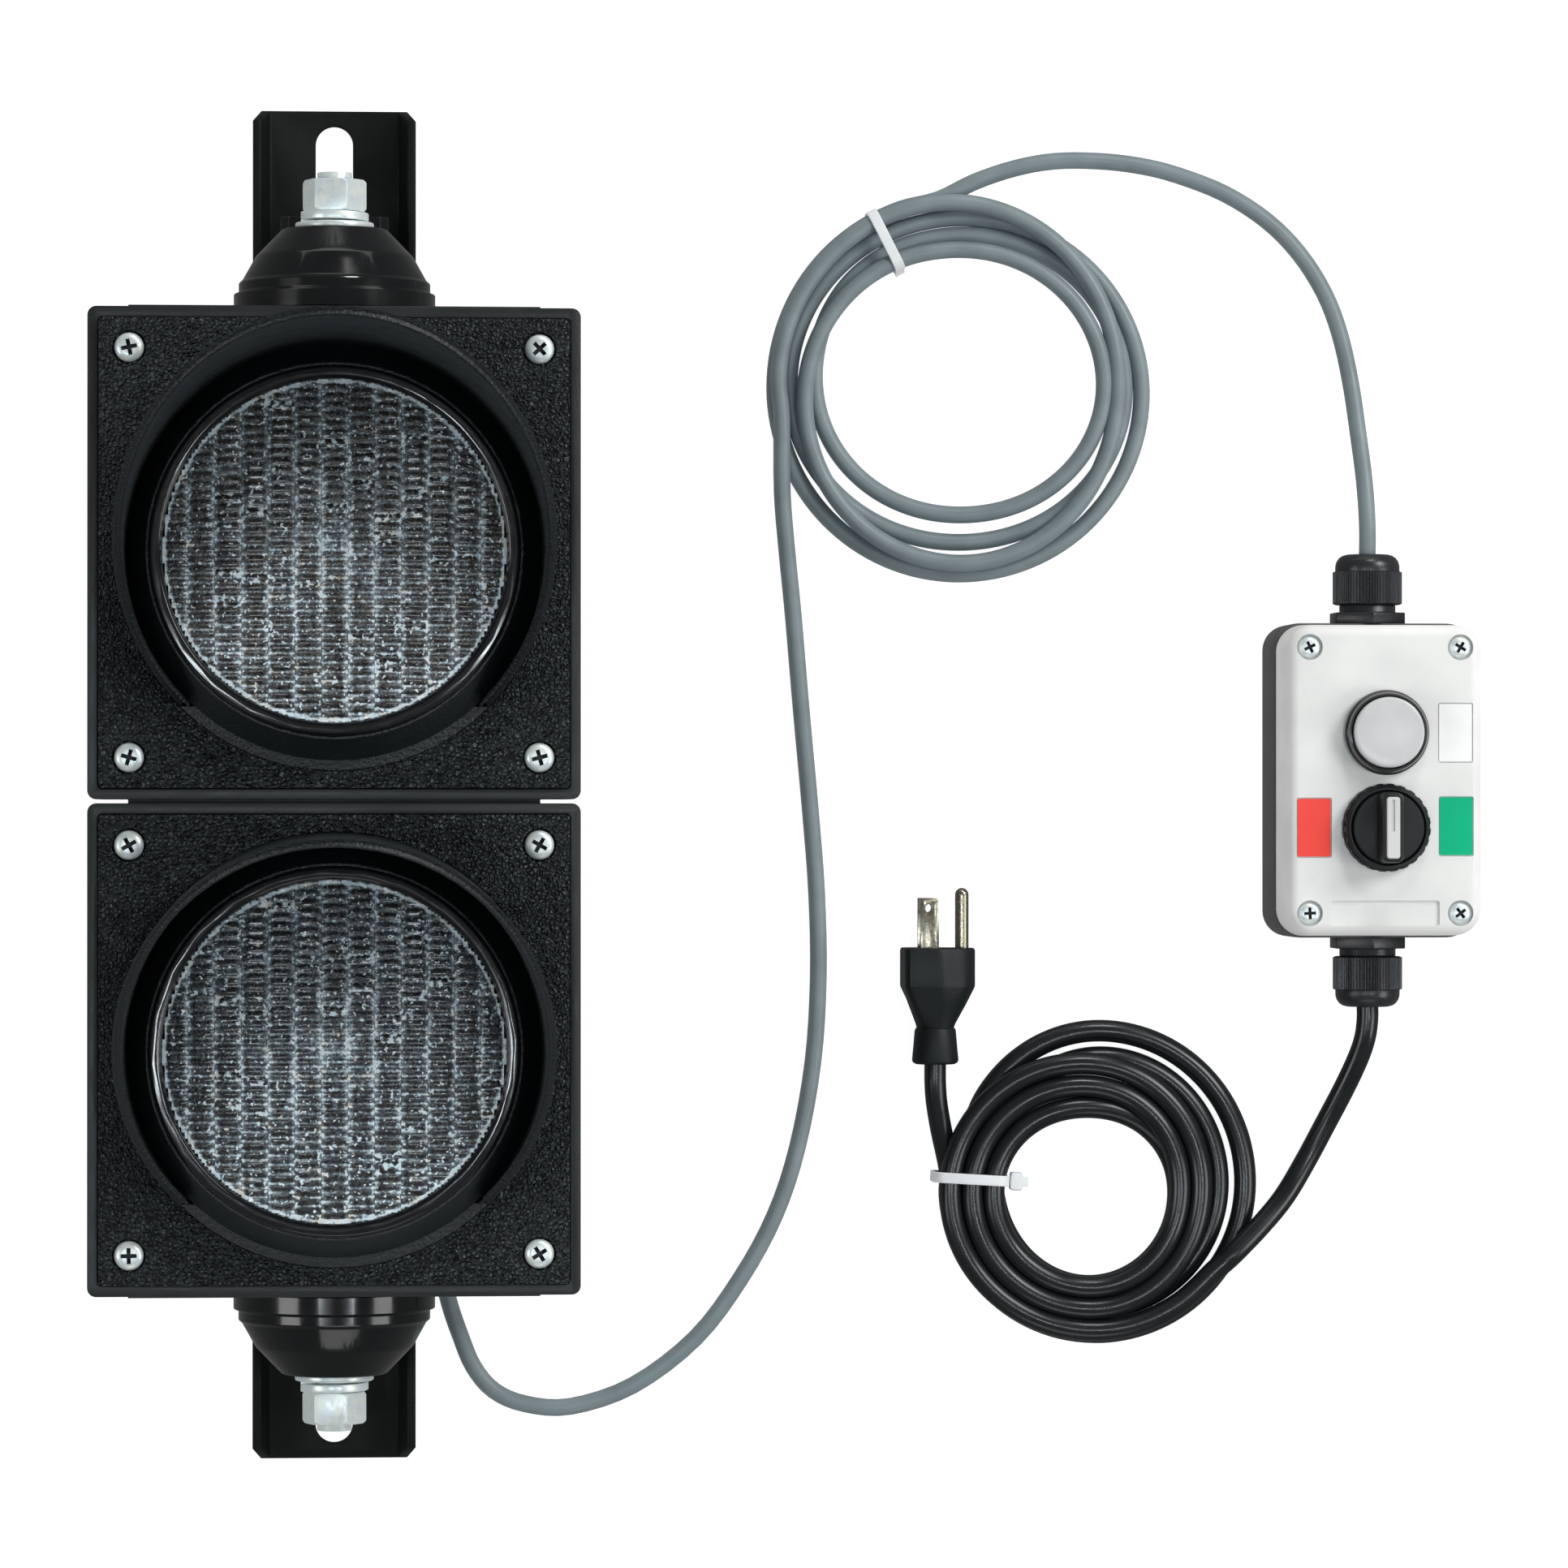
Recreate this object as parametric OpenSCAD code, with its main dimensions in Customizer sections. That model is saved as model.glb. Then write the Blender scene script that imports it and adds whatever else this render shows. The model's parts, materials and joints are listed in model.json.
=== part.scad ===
// Two-aspect stop-and-go signal with a wired control station and a mains cord.
// X is across the head, Y is up the head, Z points away from the wall.
// The wall plane is z = 0 and the origin is midway between the two wall slots.
// All lengths are in millimetres.

/* [Signal head] */
// side of one square section
section = 165; // [120:1:220]
// height of each stacking pad on the section ends
pad = 0.65; // [0.3:0.05:2]
// height of the section's back above the wall
back_z = 30; // [20:1:60]
// front face of the doors above the wall
door_z = 110; // [80:1:160]
// wall thickness of a section
wall = 3.5; // [2:0.5:6]
// side of one door
door_w = 157.4; // [110:0.2:212]
// distance between the door screws
screw_pitch = 137; // [90:1:190]
// height of the bolt axis above the wall
bolt_z = 68; // [50:1:100]
// offset of the head's middle from the middle of the wall slots
head_y = -6; // [-20:1:20]

/* [Lamp and visor] */
// outer radius of the visor at the door
visor_r = 72.8; // [50:0.2:80]
// thickness of the visor's wall
visor_t = 3.2; // [2:0.2:5]
// length of the visor at its top, from the door
visor_len = 145; // [60:1:180]
// height of the visor's lower ends above the door
visor_end = 7; // [2:1:40]
// visible radius of the lens
lens_r = 57; // [40:1:65]
// height of the lens rim in front of the door
lens_out = 20; // [5:1:40]

/* [Wall brackets] */
// width of a bracket across its flanges
bracket_w = 57; // [40:1:80]
// distance from the origin to each bracket's outer end
bracket_end = 236.5; // [200:0.5:280]
// thickness of the bracket steel
steel = 3; // [2:0.5:5]
// depth of the side flanges
flange = 15; // [8:1:25]
// distance from the origin to each slot's middle
slot_y = 216; // [190:1:250]
// width of a wall slot
slot_w = 13; // [8:0.5:16]
// end to end length of a wall slot
slot_len = 30; // [16:1:36]

/* [Control station] */
// width of the station
box_w = 69; // [60:1:90]
// height of the station
box_h = 109; // [90:1:140]
// depth of the station from the wall
box_d = 54; // [40:1:80]
// depth of the dark base
base_d = 27; // [26:1:40]
// distance between the two operators
op_pitch = 33; // [30:1:50]

/* [Cords] */
// diameter of the grey signal cable
grey_d = 6; // [4:0.5:9]
// diameter of the black mains cord
black_d = 7.8; // [6:0.2:10]

/* [Hidden] */
$fn = 64;
sec_y = [head_y + section / 2 + pad, head_y - section / 2 - pad];
rim_z = door_z - 3;
inner = section - 2 * wall;
lamp_z = door_z + lens_out;
sp = screw_pitch / 2;
arm_h = 21.2;
arm_t = 4;
dome_h = 28.7;
box_c = [364, 1.4];
gland_z = 15;
exit_p = [38, -140];
grey_c = [220, 140];
black_c = [268, -141.5];
plug_c = [211, -57.5, 12];
lens_ball = 250;
lens_top = lamp_z + 5.5;

// routes of the cords' straight stretches; each starts and ends square to the face it meets
exit_z = back_z - 1.8;
exit_bend = exit_z - 1 - 3.2;
grey_a = concat([[exit_p[0], exit_p[1], exit_z]],
         [for (t = [0:15:90])
           [exit_p[0], exit_p[1] - exit_bend * (1 - cos(t)), exit_z - 1 - exit_bend * sin(t)]],
         [[38.3, -173, 3.2], [40.6, -183, 3.2], [44.2, -193.5, 3.2], [48.8, -204.5, 3.2],
          [56, -213, 3.2], [67, -217.8, 3.2], [83, -218.8, 3.2], [105, -211.5, 3.2],
          [127, -195, 3.2], [143, -174, 3.2], [155, -152, 3.2], [163, -128, 3.2],
          [168.5, -98, 3.2], [170.4, -68, 3.2], [169.8, -38, 3.2], [167.5, -8, 3.2],
          [164.4, 26, 3.2], [161.5, 60, 3.4], [159.1, 83, 5.2], [157.3, 103, 8],
          [157.2, 118, 8.6], [158, 130, 8]]);
grey_b = [[202, 199, 5], [213, 206.5, 3.2], [226, 213.2, 3.2], [240, 218, 3.2], [254, 220.6, 3.2],
          [269, 220.8, 3.2], [284, 219.3, 3.2], [298, 216, 3.2], [315, 209.5, 3.2], [330, 200, 3.2],
          [341.5, 188.5, 3.2], [350.5, 174.5, 3.2], [356, 160, 3.6], [359.6, 143, 5],
          [361.8, 125, 8], [363.4, 107, 12.4], [364, 92, 15], [364, 81.3, 15]];
black_a = [[364, -78.5, 15], [364, -83, 15], [363.2, -89.5, 14.4], [361, -97, 12.2],
           [356.6, -107.5, 9], [350.3, -120.3, 6.2], [343.2, -133.7, 5.4], [335.5, -146, 6.8],
           [327, -155.6, 9.6], [318.1, -164.3, 12.2], [309.5, -172, 11], [300.5, -178.5, 9.5]];
black_b = [[216.4, -129.5, 6], [213.4, -121.5, 8.4], [211.6, -112, 11], [211, -105, 12],
           [211, -98.4, 12]];

// ---------- shared shapes ----------

function corner(x, y, r, a0, n) =
  [for (i = [0:n]) [x + r * cos(a0 + 90 * i / n), y + r * sin(a0 + 90 * i / n)]];

module plate2d(w, h, r, n = 6)
  polygon(concat(corner(w / 2 - r, h / 2 - r, r, 0, n), corner(r - w / 2, h / 2 - r, r, 90, n),
                 corner(r - w / 2, r - h / 2, r, 180, n), corner(w / 2 - r, r - h / 2, r, 270, n)));

module slab(w, h, r, z0, z1, n = 6)
  translate([0, 0, z0]) linear_extrude(z1 - z0) plate2d(w, h, r, n);

module ring(r1, r2, z0, z1)
  translate([0, 0, z0]) difference() {
    cylinder(h = z1 - z0, r = r1);
    translate([0, 0, -1]) cylinder(h = z1 - z0 + 2, r = r2);
  }

// a hexagon standing on z = 0, size measured across its flats
module hexagon(af, h)
  cylinder(h = h, r = af / 2 / cos(30), $fn = 6);

// a hexagonal nut or bolt head with chamfered corners
module hexnut(af, h)
  intersection() {
    rotate([0, 0, 30]) hexagon(af, h);
    union() {
      cylinder(h = h / 2, r1 = af * 0.53, r2 = af * 0.53 + h * 0.45);
      translate([0, 0, h / 2]) cylinder(h = h / 2, r1 = af * 0.53 + h * 0.45, r2 = af * 0.53);
    }
  }

// distance from the origin to the head's end, top or bottom
function head_end(side) = side * head_y + section + 2 * pad;

// puts a shape on the bolt axis: its Z points out of the head's end, its -Y away from the wall
module on_bolt(side, h)
  translate([0, side * (head_end(side) + h), bolt_z]) mirror([0, side > 0 ? 0 : 1, 0])
    rotate([-90, 0, 0]) children();

// pan head screw with a cross recess; the head stands on z = 0
module pan_screw(r, h, shank_r, len, turn)
  rotate([0, 0, turn]) {
    difference() {
      intersection() {
        cylinder(h = h, r = r);
        translate([0, 0, h - r * 1.9]) sphere(r = r * 1.9);
      }
      for (a = [0, 90]) rotate([0, 0, a])
        translate([-r * 0.52, -r * 0.1, h * 0.5]) cube([r * 1.04, r * 0.2, h]);
    }
    translate([0, 0, -len]) cylinder(h = len, r = shank_r);
  }

function unit(v) = v / norm(v);
function along(q, i) = unit(q[min(i + 1, len(q) - 1)] - q[max(i - 1, 0)]);
function carry(q, i, n) = i >= len(q) ? [] :
  let (t = along(q, i), m = unit(n - (n * t) * t)) concat([m], carry(q, i + 1, m));

// round cord swept along a list of points
module cord(q, d, n0, sides = 10) {
  m = carry(q, 0, n0);
  last = len(q) - 1;
  pts = [for (i = [0:last], k = [0:sides - 1])
    let (t = along(q, i), b = cross(t, m[i]), a = 360 * k / sides)
    q[i] + d / 2 * (cos(a) * m[i] + sin(a) * b)];
  sides_a = [for (i = [0:last - 1], k = [0:sides - 1])
    [i * sides + k, (i + 1) * sides + k, (i + 1) * sides + (k + 1) % sides]];
  sides_b = [for (i = [0:last - 1], k = [0:sides - 1])
    [i * sides + k, (i + 1) * sides + (k + 1) % sides, i * sides + (k + 1) % sides]];
  polyhedron(pts, concat([[for (k = [0:sides - 1]) k]],
    [[for (k = [0:sides - 1]) last * sides + sides - 1 - k]], sides_a, sides_b), convexity = 8);
}

// ---------- signal head ----------

module corners(d) for (x = [-d, d], y = [-d, d]) translate([x, y, 0]) children();

// one square section; holes are the radii of its upper and lower openings
module section_box(holes, cable)
  difference() {
    union() {
      difference() {
        union() {
          slab(section, section, 3, back_z, rim_z);
          translate([-69, -section / 2 - pad, back_z + 3]) cube([138, section + 2 * pad, 71]);
        }
        slab(inner, inner, 1.5, back_z + wall, rim_z + 1);
      }
      difference() {
        slab(inner + 1, inner + 1, 1.5, door_z - 13, door_z - 8.5);
        slab(inner - 14, inner - 14, 1.5, door_z - 14, door_z - 8);
      }
      corners(inner / 2 - 8)
        translate([-8.2, -8.2, back_z + 1]) cube([16.4, 16.4, door_z - 8.5 - back_z - 1]);
    }
    corners(sp) translate([0, 0, door_z - 30]) cylinder(h = 40, r = 1.9);
    translate([0, section / 2 + 2, bolt_z]) rotate([90, 0, 0]) cylinder(h = 12, r = holes[0]);
    translate([0, -section / 2 + 10, bolt_z]) rotate([90, 0, 0]) cylinder(h = 12, r = holes[1]);
    if (cable) translate([exit_p[0], exit_p[1] - sec_y[1], back_z - 1]) cylinder(h = 6, r = 6.1);
  }

module upper_housing()
  color([0.06, 0.065, 0.07]) translate([0, sec_y[0], 0]) section_box([6.4, 20.1], false);

module lower_housing()
  color([0.06, 0.065, 0.07]) translate([0, sec_y[1], 0]) section_box([20.1, 6.4], true);

// hollow nipple that joins the two sections and lets the wires through
module section_nipple()
  color([0.62, 0.63, 0.62]) translate([0, head_y, bolt_z]) rotate([90, 0, 0])
    ring(20, 16.5, -13, 13);

module section_locknuts()
  color([0.62, 0.63, 0.62]) translate([0, head_y, bolt_z]) rotate([90, 0, 0])
    for (s = [-1, 1]) translate([0, 0, s > 0 ? wall + pad : -wall - pad - 5]) difference() {
      cylinder(h = 5, r = 26);
      translate([0, 0, -1]) cylinder(h = 7, r = 20.05);
      for (a = [0:60:300]) rotate([0, 0, a]) translate([24, -2, -1]) cube([4, 4, 7]);
    }

module door()
  difference() {
    slab(door_w, door_w, 1.5, door_z - 6, door_z);
    translate([0, 0, door_z - 12]) cylinder(h = 14, r = visor_r + 0.2);
    corners(sp) {
      translate([0, 0, door_z - 10]) cylinder(h = 12, r = 2.3);
      translate([0, 0, door_z - 1.4]) cylinder(h = 3, r = 5.7);
    }
  }

module upper_door() color([0.05, 0.055, 0.06]) translate([0, sec_y[0], 0]) door();
module lower_door() color([0.05, 0.055, 0.06]) translate([0, sec_y[1], 0]) door();

// rubber frame between each section and its door
module door_seals()
  color([0.03, 0.03, 0.03]) for (y = sec_y) translate([0, y, 0]) difference() {
    slab(door_w, door_w, 1.5, door_z - 8.5, door_z - 6);
    slab(door_w - 6, door_w - 6, 1, door_z - 9, door_z - 5);
  }

module door_screws()
  color([0.72, 0.72, 0.7]) for (i = [0, 1]) translate([0, sec_y[i], door_z - 1.4])
    for (k = [0:3]) translate([sp * (k % 2 == 0 ? -1 : 1), sp * (k < 2 ? 1 : -1), 0])
      pan_screw(4.9, 2.9, 1.85, 22, 12 + 31 * k + 17 * i);

// visor moulding: clamped rim, sloping bezel and the hood cut away below
module visor() {
  b = door_z;
  rotate_extrude() polygon([[74.8, b - 8.5], [74.8, b - 6], [visor_r, b - 6], [visor_r, b],
    [visor_r - visor_t - 0.1, b], [lens_r + 5.6, lamp_z - 2], [lens_r + 4.8, lamp_z - 2],
    [lens_r + 4.8, b + 3], [lens_r + 1.5, b + 3], [lens_r + 1.5, b], [lens_r + 7, b - 1],
    [lens_r + 9, b - 8.5]]);
  difference() {
    rotate([0, 0, -45]) rotate_extrude(angle = 270)
      polygon([[visor_r - visor_t, b - 3], [visor_r, b - 3], [visor_r - 1.4, b + visor_len + 2],
               [visor_r - 1 - visor_t, b + visor_len + 2]]);
    translate([0, visor_r - 1.4, b + visor_len])
      rotate([atan((visor_len - visor_end) / (visor_r * 1.7)), 0, 0])
        translate([-100, -260, 0]) cube([200, 320, 200]);
  }
}

module upper_visor() color([0.045, 0.05, 0.055]) translate([0, sec_y[0], 0]) visor();
module lower_visor() color([0.045, 0.05, 0.055]) translate([0, sec_y[1], 0]) visor();

// clear moulded lens, a shallow dome with a flange
module lens() {
  ring(lens_r + 3.5, lens_r - 4, door_z + 7.5, door_z + 11);
  difference() {
    intersection() {
      translate([0, 0, door_z + 7.5]) cylinder(h = 30, r = lens_r - 0.2);
      translate([0, 0, lens_top - lens_ball]) sphere(r = lens_ball);
    }
    intersection() {
      translate([0, 0, door_z]) cylinder(h = 30, r = lens_r - 3.4);
      translate([0, 0, lens_top - lens_ball]) sphere(r = lens_ball - 4);
    }
  }
}

module upper_lens() color([0.8, 0.86, 0.92, 0.6]) translate([0, sec_y[0], 0]) lens();
module lower_lens() color([0.8, 0.86, 0.92, 0.6]) translate([0, sec_y[1], 0]) lens();

module lens_rings()
  color([0.02, 0.02, 0.025]) for (y = sec_y) translate([0, y, 0]) rotate_extrude()
    polygon([[lens_r, door_z + 11], [lens_r + 4.6, door_z + 11], [lens_r + 4.6, lamp_z - 1],
             [lens_r + 3.8, lamp_z], [lens_r + 1.2, lamp_z], [lens_r, lamp_z - 1.4]]);

module lens_gaskets()
  color([0.03, 0.03, 0.03]) for (y = sec_y) translate([0, y, 0])
    ring(lens_r + 3.5, lens_r + 0.5, door_z + 6, door_z + 7.5);

// light cup behind each lens
module lamp_cups()
  color([0.85, 0.86, 0.87]) for (y = sec_y) translate([0, y, 0]) rotate_extrude()
    polygon([[0, 70], [41, 70], [lens_r - 1.4, door_z + 3], [lens_r + 4.6, door_z + 3],
             [lens_r + 4.6, door_z + 6], [lens_r - 3.4, door_z + 6], [39, 72.5], [0, 72.5]]);

module led_boards()
  color([0.05, 0.25, 0.12]) for (y = sec_y) translate([0, y, 72.5]) cylinder(h = 1.6, r = 36);

module leds()
  color([0.9, 0.9, 0.85]) for (y = sec_y) translate([0, y, 74.1]) {
    cylinder(h = 9, r = 5);
    for (r = [14, 27], a = [0:(r < 20 ? 60 : 30):359]) rotate([0, 0, a]) translate([r, 0, 0])
      cylinder(h = 6, r = 2.5);
  }

module terminal_block()
  color([0.78, 0.77, 0.7]) translate([-34, sec_y[1] - 58, back_z + wall]) difference() {
    union() {
      cube([60, 18, 9]);
      translate([0, 5, 8]) cube([60, 8, 7]);
    }
    for (i = [0:5]) translate([5 + 10 * i, 9, 6]) cylinder(h = 12, r = 2.4);
    for (i = [0:5]) translate([5 + 10 * i, -1, 5]) rotate([-90, 0, 0]) cylinder(h = 20, r = 1.6);
  }

module cable_grommet()
  color([0.03, 0.03, 0.03]) translate([exit_p[0], exit_p[1], 0]) rotate_extrude()
    polygon([[0, exit_z], [7.9, exit_z], [9, exit_z + 1.1], [9, back_z], [6, back_z],
             [6, back_z + wall], [8, back_z + wall], [8, back_z + wall + 2], [0, back_z + wall + 2]]);

// ---------- wall brackets, domes and bolts ----------

// outline of the bracket across its length
module bracket_profile()
  polygon([[-25.5, 0], [25.5, 0], [bracket_w / 2, flange], [bracket_w / 2 - 3, flange],
           [25.5 - 3, steel], [3 - 25.5, steel], [3 - bracket_w / 2, flange], [-bracket_w / 2, flange]]);

module bracket(side) {
  y0 = head_end(side) + arm_h;
  mirror([0, side > 0 ? 0 : 1, 0]) difference() {
    union() {
      translate([0, bracket_end, 0]) rotate([90, 0, 0])
        linear_extrude(bracket_end - y0) bracket_profile();
      translate([-15, y0, 1]) cube([30, arm_t, bolt_z - 1]);
      translate([0, y0 + arm_t, bolt_z]) rotate([90, 0, 0]) cylinder(h = arm_t, r = 15);
    }
    translate([0, y0 + arm_t + 1, bolt_z]) rotate([90, 0, 0]) cylinder(h = arm_t + 2, r = 6.4);
    for (s = [-1, 1]) translate([0, slot_y + s * (slot_len - slot_w) / 2, -1])
      cylinder(h = steel + 2, r = slot_w / 2);
    translate([-slot_w / 2, slot_y - (slot_len - slot_w) / 2, -1])
      cube([slot_w, slot_len - slot_w, steel + 2]);
    translate([-40, bracket_end, 1.5]) rotate([19, 0, 0]) cube([80, 30, 40]);
  }
}

module top_bracket() color([0.05, 0.055, 0.055]) bracket(1);
module bottom_bracket() color([0.05, 0.055, 0.055]) bracket(-1);

// moulded dome over the bolt; hood is how far the block behind the washers rises above the top
module dome(side, hood)
  on_bolt(side, 0.3) difference() {
    union() {
      rotate_extrude() polygon([[0, 0], [34.3, 0], [34.3, 6], [32.6, 6.6], [32.6, 9.8],
        [31.4, 10.8], [26.8, 19], [25.6, 20.2], [18.2, dome_h - 0.6], [17.6, dome_h - 0.3],
        [0, dome_h - 0.3]]);
      translate([0, 0, 10]) linear_extrude(dome_h - 10.3 + hood)
        polygon([[-15.7, 13.8], [15.7, 13.8], [18.5, 16.6], [18.5, 29], [-18.5, 29], [-18.5, 16.6]]);
    }
    rotate_extrude() polygon([[17.5, -1], [30, -1], [30, 8], [22.5, 18], [17.5, 18]]);
    translate([0, 0, -1]) cylinder(h = dome_h + 4, r = 6.1);
    translate([0, 0, arm_h - 0.3]) linear_extrude(arm_t) union() {
      circle(r = 15.2);
      translate([-15.2, 0]) square([30.4, 40]);
    }
  }

module top_dome() color([0.03, 0.032, 0.035]) dome(1, 5.8);
module bottom_dome() color([0.03, 0.032, 0.035]) dome(-1, 1.2);

module bolt(side)
  on_bolt(side, -wall - pad - 0.4) {
    translate([0, 0, -7.5]) hexnut(19, 7.5);
    translate([0, 0, -1]) cylinder(h = wall + pad + 49.4, r = 5.9);
  }

module top_bolt() color([0.66, 0.67, 0.68]) bolt(1);
module bottom_bolt() color([0.66, 0.67, 0.68]) bolt(-1);

module flat_washer(side)
  on_bolt(side, dome_h) ring(13.4, 6.2, 0, 2.2);

module top_flat_washer() color([0.7, 0.71, 0.72]) flat_washer(1);
module bottom_flat_washer() color([0.7, 0.71, 0.72]) flat_washer(-1);

// split ring with a slanted cut
module spring_washer(side)
  on_bolt(side, dome_h + 2.2) difference() {
    ring(11.6, 6.2, 0, 3.8);
    rotate([0, 0, 200]) translate([5, -1, -1]) rotate([25, 0, 0]) cube([9, 1.6, 8]);
  }

module top_spring_washer() color([0.7, 0.71, 0.72]) spring_washer(1);
module bottom_spring_washer() color([0.7, 0.71, 0.72]) spring_washer(-1);

module nut(side)
  on_bolt(side, dome_h + 6) difference() {
    rotate([0, 0, 22]) hexnut(19, 10.8);
    translate([0, 0, -1]) cylinder(h = 13, r = 5.95);
  }

module top_nut() color([0.74, 0.75, 0.76]) nut(1);
module bottom_nut() color([0.74, 0.75, 0.76]) nut(-1);

// ---------- control station ----------

module at_box(x = 0, y = 0) translate([box_c[0] + x, box_c[1] + y, 0]) children();
module box_corners() for (x = [-26.4, 26.4], y = [-46.2, 46.2]) translate([x, y, 0]) children();

module box_base()
  color([0.2, 0.2, 0.2]) at_box() difference() {
    union() {
      difference() {
        slab(box_w + 1.4, box_h + 1.4, 9, 0, base_d, 8);
        slab(box_w - 5.6, box_h - 5.6, 6, 3, base_d + 1, 8);
      }
      intersection() {
        slab(box_w, box_h, 8.5, 0, base_d, 8);
        box_corners() translate([0, 0, 1]) cylinder(h = base_d - 1, r = 5.4);
      }
    }
    box_corners() translate([0, 0, 6]) cylinder(h = 30, r = 1.7);
    for (s = [-1, 1]) translate([0, s * 36, -1]) cylinder(h = 6, r = 2.3);
    translate([0, box_h / 2 + 2, gland_z]) rotate([90, 0, 0]) cylinder(h = box_h + 4, r = 10);
  }

module box_seal()
  color([0.03, 0.03, 0.03]) at_box() difference() {
    slab(box_w - 1.6, box_h - 1.6, 7.7, base_d, base_d + 1.2, 8);
    slab(box_w - 5.6, box_h - 5.6, 6, base_d - 1, base_d + 3, 8);
    box_corners() translate([0, 0, base_d - 1]) cylinder(h = 4, r = 5.6);
  }

module box_cover()
  color([0.72, 0.74, 0.75]) at_box() difference() {
    union() {
      difference() {
        union() {
          slab(box_w, box_h, 8.5, base_d + 1.2, box_d - 3, 8);
          slab(box_w - 1, box_h - 1, 8, box_d - 4, box_d - 1.5, 8);
          slab(box_w - 3, box_h - 3, 7, box_d - 2, box_d - 0.5, 8);
          slab(box_w - 5.5, box_h - 5.5, 6, box_d - 1, box_d, 8);
        }
        slab(box_w - 5.6, box_h - 5.6, 6, base_d, box_d - 3, 8);
      }
      intersection() {
        slab(box_w - 1, box_h - 1, 8, base_d + 1.2, box_d - 2, 8);
        box_corners() translate([0, 0, base_d + 1.2]) cylinder(h = box_d - base_d - 3, r = 5.4);
      }
    }
    box_corners() {
      translate([0, 0, base_d]) cylinder(h = 40, r = 2);
      translate([0, 0, box_d - 2.4]) cylinder(h = 5, r = 4.4);
    }
    for (y = [-1, 1]) translate([0, y * op_pitch / 2, box_d - 5]) cylinder(h = 8, r = 11.1);
    for (p = [[24.6, 16.5], [24.8, -16], [-24.9, -16.5]])
      translate([p[0], p[1], 0]) slab(12.2, 20.8, 0.6, box_d - 0.7, box_d + 1, 2);
    translate([0, -46.2, 0]) slab(38, 8.8, 0.8, box_d - 0.7, box_d + 1, 2);
  }

module box_screws()
  color([0.75, 0.76, 0.75]) at_box() for (k = [0:3])
    translate([26.4 * (k % 2 == 0 ? -1 : 1), 46.2 * (k < 2 ? 1 : -1), box_d - 2.4])
      pan_screw(4.1, 2.3, 1.65, 38, 25 + 34 * k);

module label(x, y) at_box(x, y) slab(11.5, 20, 0.4, box_d - 0.7, box_d - 0.2, 2);
module label_white() color([0.9, 0.9, 0.88]) label(24.6, 16.5);
module label_green() color([0.05, 0.5, 0.2]) label(24.8, -16);
module label_red() color([0.75, 0.08, 0.06]) label(-24.9, -16.5);

// fixed collar of an operator, with its threaded barrel through the cover
module barrel(r, lip)
  rotate_extrude() polygon([[8.2, box_d - 18], [11, box_d - 18], [11, box_d], [r, box_d],
    [r, box_d + 4], [r - 0.8, box_d + 4.6], [r - 0.8, box_d + 6.4], [r - 1.6, box_d + 7.2],
    [lip, box_d + 7.2], [lip, box_d + 1], [8.2, box_d + 1]]);

module button_bezel()
  color([0.2, 0.2, 0.2]) at_box(0, op_pitch / 2) barrel(14.8, 12.6);

module button_cap()
  color([0.82, 0.83, 0.84]) at_box(0, op_pitch / 2) {
    translate([0, 0, box_d + 5.2]) cylinder(h = 3.6, r = 12.25);
    translate([0, 0, box_d + 8.8]) cylinder(h = 0.8, r1 = 12.25, r2 = 11.4);
    translate([0, 0, box_d - 13]) cylinder(h = 18.6, r = 7.8);
  }

module selector_ring()
  color([0.04, 0.04, 0.045]) at_box(0, -op_pitch / 2) difference() {
    barrel(15.4, 12.9);
    for (a = [0:15:359]) rotate([0, 0, a]) translate([15, -0.5, box_d + 1]) cube([2, 1, 2.4]);
  }

module selector_knob()
  color([0.03, 0.03, 0.035]) at_box(0, -op_pitch / 2) difference() {
    union() {
      translate([0, 0, box_d + 1.4]) cylinder(h = 6.6, r = 12.5);
      slab(8, 24.4, 2, box_d + 7, box_d + 17, 4);
      translate([0, 0, box_d - 17]) cylinder(h = 19, r = 7.8);
    }
    slab(4.8, 21.4, 1, box_d + 16, box_d + 18, 2);
  }

module selector_insert()
  color([0.93, 0.93, 0.9]) at_box(0, -op_pitch / 2) slab(4.8, 21.4, 1, box_d + 16, box_d + 17.3, 2);

module operator_nuts()
  color([0.05, 0.05, 0.05]) at_box() for (y = [-1, 1]) translate([0, y * op_pitch / 2, box_d - 7])
    difference() {
      hexagon(27, 4);
      translate([0, 0, -1]) cylinder(h = 6, r = 11.05);
    }

module contact_blocks()
  color([0.1, 0.12, 0.14]) at_box() for (y = [-1, 1])
    translate([0, y * op_pitch / 2, 0]) difference() {
      translate([-20, -12, 3]) cube([40, 24, box_d - 21]);
      for (x = [-14, 14]) translate([x, 0, 30]) cylinder(h = 10, r = 2.6);
      for (x = [-14, 14], s = [-1, 1]) translate([x, s * 7, 30]) cylinder(h = 10, r = 1.6);
    }

// cable glands: side is 1 for the cable in at the top and -1 for the cord out at the bottom
module at_gland(side)
  translate([box_c[0], box_c[1] + side * (box_h / 2 + 0.7), gland_z])
    rotate([side > 0 ? -90 : 90, 0, 0]) children();

module gland_bodies()
  color([0.04, 0.04, 0.042]) for (s = [-1, 1]) at_gland(s) difference() {
    union() {
      rotate([0, 0, 30]) hexagon(24.6, 4);
      translate([0, 0, -9.5]) cylinder(h = 16.2, r = 9.9);
    }
    translate([0, 0, -10]) cylinder(h = 14, r = 6.5);
  }

module gland_nuts()
  color([0.035, 0.035, 0.038]) for (s = [-1, 1]) at_gland(s)
    rotate_extrude() polygon([[0, 6.7], [12.1, 6.7], [12.1, 18.6], [11.4, 18.9], [11.2, 20.9],
      [10.1, 23], [8.3, 24.3], [6, 24.7], [0, 24.7]]);

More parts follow.
